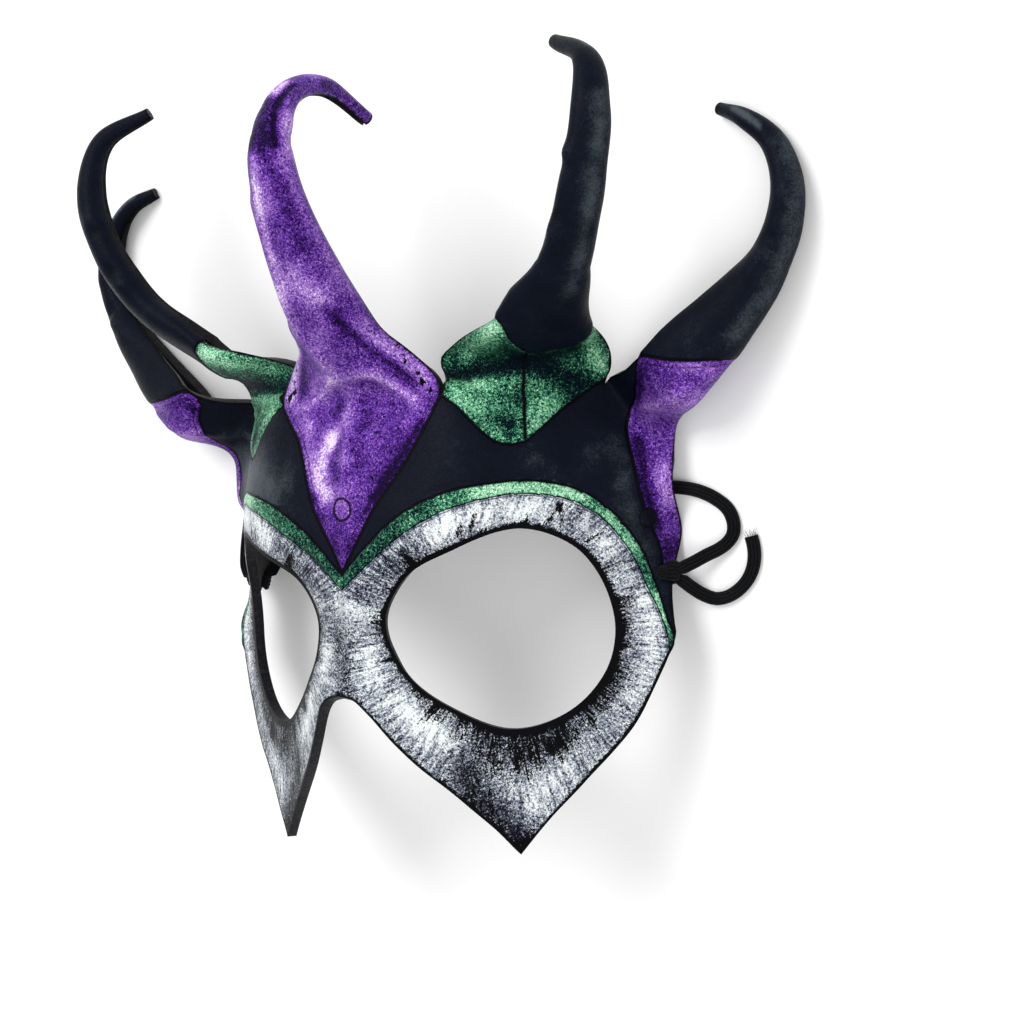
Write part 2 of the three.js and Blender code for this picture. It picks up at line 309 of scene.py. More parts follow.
# elastic: a flat band with four ribs, knotted through the temples
elastic = {
    "width": 3.2, "thickness": 1.1, "ribs": 4, "ribDepth": 0.16, "step": 0.8, "samples": 25,
    "strap": [
        (69.4, -31, 5), (72.4, -29.7, 3.7), (75.1, -28.4, 2.6), (77.6, -27.4, 1.9), (80, -26, 1.5),
        (81.9, -23.9, 1.3), (82.4, -21, 1.3), (81.2, -17.9, 1.3), (78, -15.3, 1.3), (73.6, -13.4, 1.3),
        (68, -12.4, 1.3), (60, -12.2, 1.3), (46, -11.2, 1.3), (31, -12.4, 1.3), (16, -12.2, 1.3),
        (3, -12, 1.3), (-8.8, -12.2, 1.3), (-13, -10.5, 1.3), (-14.7, -6.3, 1.3), (-13, -2.1, 1.3),
        (-8.8, -0.4, 1.3), (4, -0.2, 1.3), (16, -1.2, 1.3), (27, -1.2, 1.3), (31.2, 0.5, 1.3),
        (32.9, 4.7, 1.3), (31.2, 8.9, 1.3), (27, 10.6, 1.3), (10, 9.8, 1.3), (-8, 9.8, 1.3),
        (-26, 9, 1.3), (-41, 6.2, 1.3), (-53, 0.6, 1.3), (-62, -6.6, 1.3), (-69, -14, 1.3),
        (-71.2, -20, 1.5), (-71.8, -25, 2.5), (-71.2, -28.8, 3.9), (-69.5, -31, 5),
    ],
    "tailLeft": [
        (69, -34.2, 4.6), (70.6, -36.2, 3.2), (72.7, -38, 2), (75.4, -39, 1.4), (78.6, -38.6, 1.3),
        (81.6, -37.2, 1.3), (84.2, -35.1, 1.3), (86, -32.6, 1.3), (87, -29.8, 1.3), (87.2, -27, 1.3),
        (86.8, -24.4, 1.3),
    ],
    "tailRight": [
        (-61.8, -30.6, 4.4), (-60.2, -27.5, 3), (-59.2, -23.5, 1.8), (-57.2, -19.5, 1.3),
        (-53, -16, 1.3), (-47.4, -14.2, 1.3), (-40.4, -14, 1.3),
    ],
    "lean": 32, "leanGain": 1.4,  # degrees that the band tilts, most where it runs up the mask
    "frayed": 9, "thread": 0.09, "taper": (1, 1, 1, 0.95, 0.9, 0.8, 0.5), "sharpAngle": 60,
    "stitches": 2.3, "slant": 1.3,  # stitches a millimetre, and how far a rib's sides lag
}


def makeElasticCloth():
    # braided black yarn, with the grey rubber core in the loose threads
    material, tree, shader = startMaterial("elasticCloth", 0.78, 0.05, 0.05)
    run, across, core = (readValue(tree, n) for n in ("weaveAlong", "weaveAcross", "core"))
    rib = total(tree, (across, elastic["ribs"] / elastic["width"]), 20.0)
    zig = calc(tree, "ABSOLUTE", calc(tree, "SUBTRACT", calc(tree, "FRACT", rib), 0.5))
    rise = total(tree, (run, elastic["stitches"]), (zig, elastic["slant"]))
    stitch = calc(tree, "SINE", times(tree, rise, 2 * math.pi))
    fuzz = noiseValue(tree, millimetres(tree), 2.2, 3, 0.7)
    crest = step(tree, zig, 0.15, 0.48)
    value = total(tree, (stitch, 0.18), (fuzz, 0.3), (crest, -0.45), 0.55)
    colour = mixColours(tree, step(tree, value, 0.0, 1.0), rgb(1, 1, 2), rgb(24, 25, 28))
    colour = mixColours(tree, core, colour, rgb(150, 150, 148))
    connect(tree, shader, colour, total(tree, (stitch, 0.03), (fuzz, 0.03)))
    return material


elasticCloth = makeElasticCloth()


def bandSection(width, ribs, samples):
    # outline of the band, ribs across its broad sides: (across, up) in mm, closed
    thick = elastic["thickness"] / 2
    across = np.linspace(-1, 1, samples)
    rib = elastic["ribDepth"] * 0.5 * (1 - np.cos(np.pi * ribs * (across + 1)))
    top = (thick - elastic["ribDepth"] + rib) * np.sqrt(np.clip(1 - np.abs(across) ** 10, 0, 1))
    upper = np.stack([across * width / 2, top], 1)
    lower = np.stack([across[::-1] * width / 2, -top[::-1]], 1)[1:-1]
    return np.vstack([upper, lower])


def ribbonMesh(name, rings, closed=False):
    # skin over rings of points, each ring a row of the array
    count, n = rings.shape[:2]
    rows = count if closed else count - 1
    faces = [(i * n + j, i * n + (j + 1) % n, (i + 1) % count * n + (j + 1) % n, (i + 1) % count * n + j)
             for i in range(rows) for j in range(n)]
    if not closed:
        faces += [tuple(range(n))[::-1], tuple((count - 1) * n + j for j in range(n))]
    mesh = bpy.data.meshes.new(name)
    mesh.from_pydata((rings.reshape(-1, 3) * mm).tolist(), [], faces)
    obj = bpy.data.objects.new(name, mesh)
    bpy.context.collection.objects.link(obj)
    editWhole(obj, turnOutwards)
    return obj


def fraySpread(path, along, side, width):
    # loose threads that stick out of the cut end
    angle = np.linspace(0, 2 * np.pi, 5, endpoint=False)
    ring = np.stack([np.cos(angle), np.sin(angle)], 1)
    cross = np.cross(along[-1], side[-1])
    threads = []
    for k in range(elastic["frayed"]):
        place = (k + 0.5) / elastic["frayed"] - 0.5
        swing = 0.5 * math.sin(k * 2.4)
        reach = 1.4 + 1.1 * abs(math.sin(k * 1.7 + 0.4))
        ways = np.array([along[-1], along[-1] + side[-1] * (place * 0.8 + swing * 0.5),
                         along[-1] * 0.8 + side[-1] * (place * 1.2 + swing)])
        start = path[-1] - along[-1] * 0.5 + side[-1] * place * width * 0.8
        line = start + np.vstack([0 * start, np.cumsum(ways, axis=0) * reach / 3])
        line[:, 2] = np.maximum(line[:, 2] + 0.12 * np.sin(k * 3.1 + np.arange(4)), 0.2)
        route = evenCurve(line, len(elastic["taper"]))
        sizes = elastic["thread"] * np.array(elastic["taper"])[:, None, None]
        threads.append(route[:, None] + sizes * (ring[:, :1] * side[-1] + ring[:, 1:] * cross))
    return threads


bandEnds = []  # where the bands meet the knots: place and the band's two directions


def makeBand(name, route, node, farEnd):
    # sweeps the section along the route; its broad side turns up and outwards
    rough = curvePoints(route, np.linspace(0, 1, 1200))
    length = np.linalg.norm(np.diff(rough, axis=0), axis=1).sum()
    count = int(length / elastic["step"]) + 1
    path = evenCurve(route, count)
    along = np.gradient(path, axis=0)
    along /= np.linalg.norm(along, axis=1)[:, None]
    side = np.cross(along, (0, 0, 1.0))
    side /= np.linalg.norm(side, axis=1)[:, None]
    up = np.cross(side, along)
    lean = -math.radians(elastic["lean"]) * np.clip(along[:, 1] * elastic["leanGain"], -1, 1)[:, None]
    across = side * np.cos(lean) + up * np.sin(lean)
    over = -side * np.sin(lean) + up * np.cos(lean)
    section = bandSection(elastic["width"], elastic["ribs"], elastic["samples"])
    rings = (path[:, None] + section[None, :, :1] * across[:, None]
             + section[None, :, 1:] * over[:, None])
    rings[:, :, 2] = np.maximum(rings[:, :, 2], 0)
    band = ribbonMesh(name, rings)
    bandEnds.append((path[0], across[0], over[0]))
    setValues(band, "weaveAlong", np.repeat(np.arange(count) * length / (count - 1), len(section)))
    setValues(band, "weaveAcross", np.tile(section[:, 0], count))
    if farEnd == "object":
        bandEnds.append((path[-1], across[-1], over[-1]))
    else:
        threads = [ribbonMesh("thread", t) for t in fraySpread(path, along, across, elastic["width"])]
        for thread in threads:
            setValues(thread, "core", np.ones(len(thread.data.vertices)))
        joinTo(band, threads)
    band.data.materials.append(elasticCloth)
    finishPiece(band, node, elastic["sharpAngle"])
    print(name, "is", round(length, 1), "mm long")


makeBand("elasticStrap", elastic["strap"], "elastic_strap", "object")
makeBand("strapTailLeft", elastic["tailLeft"], "strap_tail_left", "bare")
makeBand("strapTailRight", elastic["tailRight"], "strap_tail_right", "bare")
print("elastic laid")


# leather: one sheet, its outer side
leather = {
    "thickness": 2.4, "tipThickness": 1.3, "thinsFrom": 0.4, "edgeRound": 0.35, "sharpAngle": 50,
    "rings": 30,  # rows of faces from the eye hole out to the rim
    "steps": {"arch": 44, "cheek": 66, "temple": 28, "middle": 60},
    "columns": {"centre": 56, "side": 44, "outer": 40},
    "rows": {"centre": 110, "side": 96, "outer": 96},
    "eyeCentre": (35, -3),
    "eyeHole": [(10.7, 0), (13.7, -10.8), (23, -20.5), (36, -26.6), (48, -22.5), (56, -11.5),
                (57, 2), (52.5, 15.5), (44, 20.5), (29, 15.5), (16.9, 9.5)],
    "noseArch": [(0, -18), (4, -19), (7.7, -22.7), (12.4, -29.2), (18, -35.9), (26.2, -44), (33, -51.2),
                 (37, -56)],
    "cheekEdge": [(37, -56), (43, -48), (50.5, -39), (60.5, -26.3), (66.4, -13.8), (69.4, -5.5),
                  (69, -2)],
    "templeEdge": [(69, -2), (67.2, 6), (66.8, 13), (67.6, 20), (69.5, 29)],
    "innerGap": (25, 52.7), "outerGap": (55.6, 53.9), "outerEnd": (69.5, 29), "centreTop": 50,
    "sideDip": 3, "rootBlend": 0.17, "rootReach": 13,
    "rootWay": {"centre": (0, 1), "side": (0.25, 1), "outer": (0.2, 0.9)},
}
horns = {
    "centre": {
        "plane": (1, 0, 0),
        "line": [(0, 54, -10), (0, 66, -2.5), (0, 80, 7.5), (0, 97, 16.5), (0, 112, 20),
                 (0, 123.5, 13.5), (0, 127, 1), (0, 121, -14.5)],
        "halfWidth": [24, 13, 9, 6.8, 5.2, 3.6, 2.7, 1.9],
        "halfDepth": [7, 8, 7.2, 5.8, 4.6, 3.2, 2.4, 1.7],
        "roll": [60, 105, 130, 142, 150, 155, 160, 165],
    },
    "side": {
        "plane": (0.551, 0, -0.834),
        "line": [(44, 56, -21), (50.2, 67, -13.5), (65, 79.5, -4.4), (74.5, 95.5, 1.5),
                 (78.3, 111, 2.5), (75.8, 123, 0), (64, 129.3, -5)],
        "halfWidth": [17, 13, 6.2, 5.3, 4.6, 3.4, 1.6],
        "halfDepth": [5, 4.6, 4.5, 4.2, 3.7, 2.7, 1.6],
        "roll": [60, 115, 140, 148, 154, 160, 165],
        # how far the cut edge towards the middle spreads behind the centre horn: t, then x, y, z
        "flare": [(0.01, 0, 0, 0), (0.02, 0, 0.3, -0.6), (0.03, -0.7, 1.1, -1.4), (0.04, -3.4, 1.8, -2.5),
                  (0.05, -6, 2.6, -3.4), (0.07, -8, 3.4, -3.4), (0.08, -7.6, 3.7, -3),
                  (0.1, -6, 3.5, -2), (0.12, -3.6, 2.9, -0.8), (0.14, -1.2, 1.9, -0.2),
                  (0.16, 0.7, 0.6, 0), (0.18, 2, -0.3, 0), (0.21, 1.2, -0.3, 0), (0.25, 0, 0, 0)],
    },
    "outer": {
        "plane": (0.147, 0, -0.989),
        "line": [(62, 41, -30.5), (74.5, 53, -30), (90, 65.5, -31), (102, 79, -32),
                 (107.2, 93, -31.5), (104.3, 104.5, -31), (97.3, 110.8, -30), (89.9, 114, -32)],
        "halfWidth": [9, 8, 6.3, 4.8, 4, 3.2, 2.4, 1.6],
        "halfDepth": [8, 9, 7, 4.6, 3.8, 3, 2.2, 1.5],
        "roll": [70, 105, 130, 145, 150, 155, 160, 165],
        "flare": [(0.02, 0, 0, 0), (0.05, -0.2, 0.6, 0), (0.1, -0.8, 1.8, 0), (0.15, -1.3, 2.8, 0),
                  (0.2, -1.4, 3, 0), (0.3, -0.9, 2, 0), (0.4, -0.3, 0.6, 0), (0.5, 0, 0, 0)],
    },
}
hornNumber = {"centre": 1, "side": 2, "outer": 3}
faceForm = {  # mm; the brow's and the cheeks' surfaces turn into one another between two heights
    "browFrom": 8, "browBack": 0.0035, "sideFrom": 32.9, "sideSoft": 6, "sideSlope": 6.6,
    "templeFrom": 57, "templeBack": 0.1, "templeFlat": (1.25, 12, 32),
    "bridge": 5.2, "cheekSlope": 0.62, "cheekRound": 8,
    "flare": 3.2, "flareWidth": 17, "flareFrom": (8, 22), "turns": (-4, 22),
}


def faceDepth(x, y):
    form = faceForm
    side = np.abs(x)
    above = np.maximum(0, y - form["browFrom"])
    beyond = np.maximum(0, side - form["templeFrom"])
    share, low, high = form["templeFlat"]
    brow = (-form["browBack"] * above ** 2
            - form["sideSlope"] * np.log1p(np.exp((side - form["sideFrom"]) / form["sideSoft"]))
            - form["templeBack"] * beyond ** 2 * (1 - share * smooth(low, high, y)))
    flare = form["flare"] * bell(side, form["flareWidth"]) * smooth(*form["flareFrom"], -y)
    cheek = form["bridge"] - form["cheekSlope"] * np.hypot(side, form["cheekRound"]) + flare
    return blend(cheek, brow, smooth(*form["turns"], y))


def rootRow(name, w):
    inner, outer = np.array(leather["innerGap"]), np.array(leather["outerGap"])
    if name == "centre":
        return np.stack([inner[0] * w, blend(leather["centreTop"], inner[1], w * w)], -1)
    if name == "side":
        row = blend(inner, outer, (w[..., None] + 1) / 2)
        row[..., 1] -= leather["sideDip"] * (1 - w * w)
        return row
    return blend(outer, np.array(leather["outerEnd"]), (w[..., None] + 1) / 2)


def hornPoints(name, t, w):
    # t from root to tip, w from edge to edge, both flat lists
    horn = horns[name]
    centre = curvePoints(horn["line"], t)
    ahead, behind = np.minimum(t + 1e-4, 1), np.maximum(t - 1e-4, 0)
    along = curvePoints(horn["line"], ahead) - curvePoints(horn["line"], behind)
    along /= np.linalg.norm(along, axis=1)[:, None]
    plane = np.array(horn["plane"], float)
    across = plane - along * (along @ plane)[:, None]
    across /= np.linalg.norm(across, axis=1)[:, None]
    spine = np.cross(across, along)
    stops = np.linspace(0, 1, len(horn["roll"]))
    angle = np.radians(np.interp(t, stops, horn["roll"])) * w
    wide = np.interp(t, stops, horn["halfWidth"]) * np.sin(angle)
    deep = np.interp(t, stops, horn["halfDepth"]) * np.cos(angle)
    rolled = centre + across * wide[:, None] + spine * deep[:, None]
    reach = leather["rootReach"] * np.minimum(1, t / leather["rootBlend"])
    flat = rootRow(name, w) + np.array(leather["rootWay"][name]) * reach[:, None]
    flat = np.column_stack([flat, faceDepth(flat[:, 0], flat[:, 1])])
    points = blend(flat, rolled, smooth(0, leather["rootBlend"], t)[:, None])
    if "flare" in horn:
        steps = np.array(horn["flare"])
        for k in range(3):
            points[:, k] += np.interp(t, steps[:, 0], steps[:, k + 1]) * smooth(0, 1, -w)
    return points


def onSheet(where, places):
    # points in mm at places on the face (x, y) or on a horn (share, turn)
    if where == "face":
        return np.column_stack([places, faceDepth(places[:, 0], places[:, 1])])
    return hornPoints(where, places[:, 0], places[:, 1])


def rimPoints():
    # rim of the left half face, counterclockwise from the nose
    steps, columns = leather["steps"], leather["columns"]
    arch = evenCurve(leather["noseArch"], steps["arch"] + 1)
    cheek = evenCurve(leather["cheekEdge"], steps["cheek"] + 1)[1:]
    temple = evenCurve(leather["templeEdge"], steps["temple"] + 1)[1:]
    roots = [rootRow(n, np.linspace(1, low, c + 1))[1:] for n, low, c in (
        ("outer", -1, columns["outer"]), ("side", -1, columns["side"]),
        ("centre", 0, columns["centre"] // 2))]
    middle = np.linspace((0, leather["centreTop"]), leather["noseArch"][0], steps["middle"] + 1)[1:]
    return np.vstack([arch, cheek, temple, *roots, middle])


def eyeEdge(points):
    # point of the eye hole in the direction of each given point
    curve = evenCurve(leather["eyeHole"], 1400, closed=True)
    centre = np.array(leather["eyeCentre"])
    away = curve - centre
    turn = np.arctan2(away[:, 1], away[:, 0])
    order = np.argsort(turn)
    aim = np.asarray(points) - centre
    want = np.arctan2(aim[:, 1], aim[:, 0])
    radius = np.interp(want, turn[order], np.linalg.norm(away, axis=1)[order], period=2 * np.pi)
    return centre + np.stack([np.cos(want), np.sin(want)], 1) * radius[:, None]


def makePatch(name, columns, rows, place, side):
    # a grid whose corners u, v are put where place() says; side is 1 for left, -1 for right
    bpy.ops.mesh.primitive_grid_add(x_subdivisions=columns, y_subdivisions=rows, size=1)
    patch = bpy.context.object
    patch.name = name
    grid = vertexPlaces(patch) + 0.5
    u = np.rint(grid[:, 0] * columns) / columns
    v = np.rint(grid[:, 1] * rows) / rows
    points, t, w, number = place(u, v)
    points = points * (side, 1, 1)
    values = {"wearerX": points[:, 0], "wearerY": points[:, 1], "wearerZ": points[:, 2],
              "hornShare": t, "hornTurn": w, "hornKind": np.full(len(u), float(number))}
    for label, part in values.items():
        setValues(patch, label, part)
    placeVertices(patch, toRow(points))
    if side < 0:
        editWhole(patch, bpy.ops.mesh.flip_normals)
    return patch


def facePlace(rim, eye):
    def place(u, v):
        i = np.rint(u * (len(rim) - 1)).astype(int)
        return onSheet("face", blend(eye[i], rim[i], v[:, None])), 0 * u, 0 * u, 0
    return place


def hornPlace(name):
    def place(u, v):
        w = u * 2 - 1
        return hornPoints(name, v, w), v, w, hornNumber[name]
    return place


def makeSheet():
    clearSelection()
    rim = rimPoints()
    eye = eyeEdge(rim)
    patches = [makePatch("face", len(rim) - 1, leather["rings"], facePlace(rim, eye), s)
               for s in (1, -1)]
    for name in horns:
        for s in ((1,) if name == "centre" else (1, -1)):
            patches.append(makePatch(name, leather["columns"][name], leather["rows"][name],
                                     hornPlace(name), s))
    sheet = patches[0]
    joinTo(sheet, patches[1:])
    sheet.name = "leatherMask"
    editWhole(sheet, weld, turnOutwards)
    for layer in [x.name for x in sheet.data.uv_layers]:
        sheet.data.uv_layers.remove(sheet.data.uv_layers[layer])
    sheet.matrix_world = Matrix.Identity(4)
    return sheet


sheet = makeSheet()
print("leather sheet:", len(sheet.data.vertices), "vertices")


# tooled lines and painted zones, drawn on the wearer's left half and mirrored
# face points are x, y; horn points are share of length from the root, turn from edge to edge
tooled = {
    "bandUpper": [("face", [(0, 10.6), (6, 16.2), (12, 21.2), (17.8, 24.8), (23.7, 27.7), (29, 29.5),
        (33.5, 30.5), (37.6, 31.2), (41.5, 31.6), (45.2, 31.6), (48.8, 30.9), (52.4, 29.4), (56.1, 26.7),
        (59.4, 22.6), (61.7, 17.4), (63.4, 11.4), (64.5, 7.4), (66.6, 1.4), (68.6, -4.2), (69.8, -8)])],
    "bandLower": [("face", [(0, 7), (5.5, 11.2), (11.4, 15.7), (18, 19.8), (24, 22.9), (29.1, 25.2),
        (33.7, 26.7), (37.8, 27.7), (41.6, 28.4), (45.3, 28.4), (49, 27.7), (52.6, 26.1), (56.1, 23.3),
        (58.9, 19.3), (60.9, 14.3), (62.4, 9.4), (63.6, 5.3), (65.9, 0.1), (67.5, -4.8), (68, -11)])],
    "diamond": [("face", [(0, 11.3), (2.5, 14.8), (5.7, 20.5), (9.1, 25.8), (12.8, 30.6), (16.8, 35.9),
        (20.2, 41.6), (23, 47), (25.05, 52.7)])],
    "diamondRight": [("face", [(0, 11.3), (2.1, 15.3), (5.7, 20.7), (9.4, 26.3), (12, 31.9), (14.2, 38.1),
        (16.9, 43.3), (20.2, 47.1), (25.05, 52.7)])],
    "sidePanel": [("face", [(25, 52.7), (26.8, 51.4), (29, 49.9), (32.1, 46.9), (35.5, 43.3),
        (38.4, 40.9), (41.3, 40.1), (43.9, 41), (46.5, 44.4), (49.4, 48.5), (51, 50.3), (53, 52.6)]),
        ("side", [(0, 0.83), (0.006, 0.9), (0.012, 0.95), (0.02, 1)])],
    "outerRight": [("outer", [(0.165, -1), (0.13, -0.95), (0.12, -0.77), (0.117, -0.59), (0.105, -0.3),
        (0.09, -0.05), (0.07, 0.16), (0.045, 0.45), (0, 0.8)]), ("face", [(68, 31), (66.6, 26),
        (65.3, 20), (65.2, 13.3), (65.6, 9)])],
    "outerPanel": [("outer", [(0.15, -1), (0.139, -0.95), (0.119, -0.81), (0.091, -0.64), (0.06, -0.48),
        (0.03, -0.39), (0, -0.34)]), ("face", [(60.2, 45.7), (60.1, 43.6), (60.5, 41), (61.7, 35.8),
        (62.8, 30.8), (63.6, 24.6), (64.1, 19.5), (65, 13.3), (65.6, 9)])],
    "sideCuff": [("side", [(0.19, -1), (0.196, -0.75), (0.192, -0.49), (0.168, -0.33), (0.15, -0.25),
        (0.134, -0.17), (0.119, -0.06), (0.121, 0.03), (0.124, 0.13), (0.124, 0.25), (0.124, 0.42),
        (0.138, 0.6), (0.168, 0.8), (0.2, 1)])],
    "outerCuff": [("outer", [(0.15, -1), (0.166, -0.83), (0.182, -0.68), (0.201, -0.54), (0.217, -0.43),
        (0.233, -0.32), (0.252, -0.13), (0.262, 0.3), (0.245, 0.6), (0.215, 0.8), (0.185, 1)])],
    "sideSeam": [("side", [(0.118, -0.12), (0.097, -0.11), (0.074, -0.07), (0.047, 0), (0.019, 0.09),
        (0, 0.15)]), ("face", [(42.6, 50.4), (42.7, 48.6), (43, 45.7), (43.6, 40.8)])],
    "sideCrease": [("side", [(0.022, -1), (0.027, -0.8), (0.034, -0.6), (0.043, -0.43), (0.05, -0.25),
        (0.056, -0.1), (0.05, 0.06), (0.036, 0.28), (0.008, 0.47)])],
    "outerCrease": [("outer", [(0.024, -0.36), (0.069, -0.36), (0.115, -0.32), (0.15, -0.31),
        (0.187, -0.22), (0.22, -0.12)])],
    "arch": [("centre", [(0, -0.6), (0.03, -0.46), (0.059, -0.33), (0.085, -0.18), (0.1, 0),
        (0.105, 0.12), (0.102, 0.25), (0.093, 0.37), (0.076, 0.46), (0.048, 0.56), (0, 0.74)])],
    "archRidge": [("face", [(0, 30.5), (0.2, 38), (0.3, 45), (0.2, 50)]), ("centre", [(0.01, 0),
        (0.05, 0), (0.085, 0)])],
    "foldRight": [("centre", [(0.25, 0.3), (0.196, 0.43), (0.141, 0.55), (0.092, 0.63), (0.053, 0.73),
        (0.02, 0.85)])],
    "hornRidge": [("centre", [(0.12, -0.05), (0.18, -0.12), (0.25, -0.2), (0.34, -0.25), (0.45, -0.3)])],
}
notMirrored = ("arch", "archRidge", "foldRight", "hornRidge")
studs = {"ring": (0, 26.2), "ringRadius": 2.6, "disc": (63.8, 22), "discRadius": 2.2}


def linePoints(name):
    # the tooled line as close points on the sheet
    parts = []
    for where, points in tooled[name]:
        places = evenCurve(points, 240 if where == "face" else 200)
        if where != "face":
            places = np.clip(places, (0, -1), (1, 1))
        parts.append(onSheet(where, places))
    return np.vstack(parts)


def awayFrom(points, line):
    # distance in millimetres from each point to the line's own points
    tree = KDTree(len(line))
    for i, p in enumerate(line):
        tree.insert(p, i)
    tree.balance()
    return np.array([tree.find(p)[2] for p in points])


def inside(points, outline):
    # even-odd test in the face's plane
    x, y = points[:, 0], points[:, 1]
    outline = np.array(outline)
    odd = np.zeros(len(points), bool)
    for (x0, y0), (x1, y1) in zip(outline, np.roll(outline, -1, axis=0)):
        if y0 != y1:
            odd ^= ((y0 > y) != (y1 > y)) & (x < x0 + (x1 - x0) * (y - y0) / (y1 - y0))
    return odd


def signed(distance, positive):
    return np.where(positive, distance, -distance)


def levelAt(name, turn):
    # share of the horn's length at which a cuff lies
    points = np.array(tooled[name][0][1])
    return np.interp(turn, points[:, 1], points[:, 0])


def cutEdgePoints(sheet):
    # numbers of the vertices on the open edges of the sheet
    mesh = sheet.data
    pairs = np.empty(len(mesh.loops), int)
    mesh.loops.foreach_get("edge_index", pairs)
    ends = np.empty(len(mesh.edges) * 2, int)
    mesh.edges.foreach_get("vertices", ends)
    rimEdges = np.where(np.bincount(pairs, minlength=len(mesh.edges)) == 1)[0]
    return np.unique(ends.reshape(-1, 2)[rimEdges])


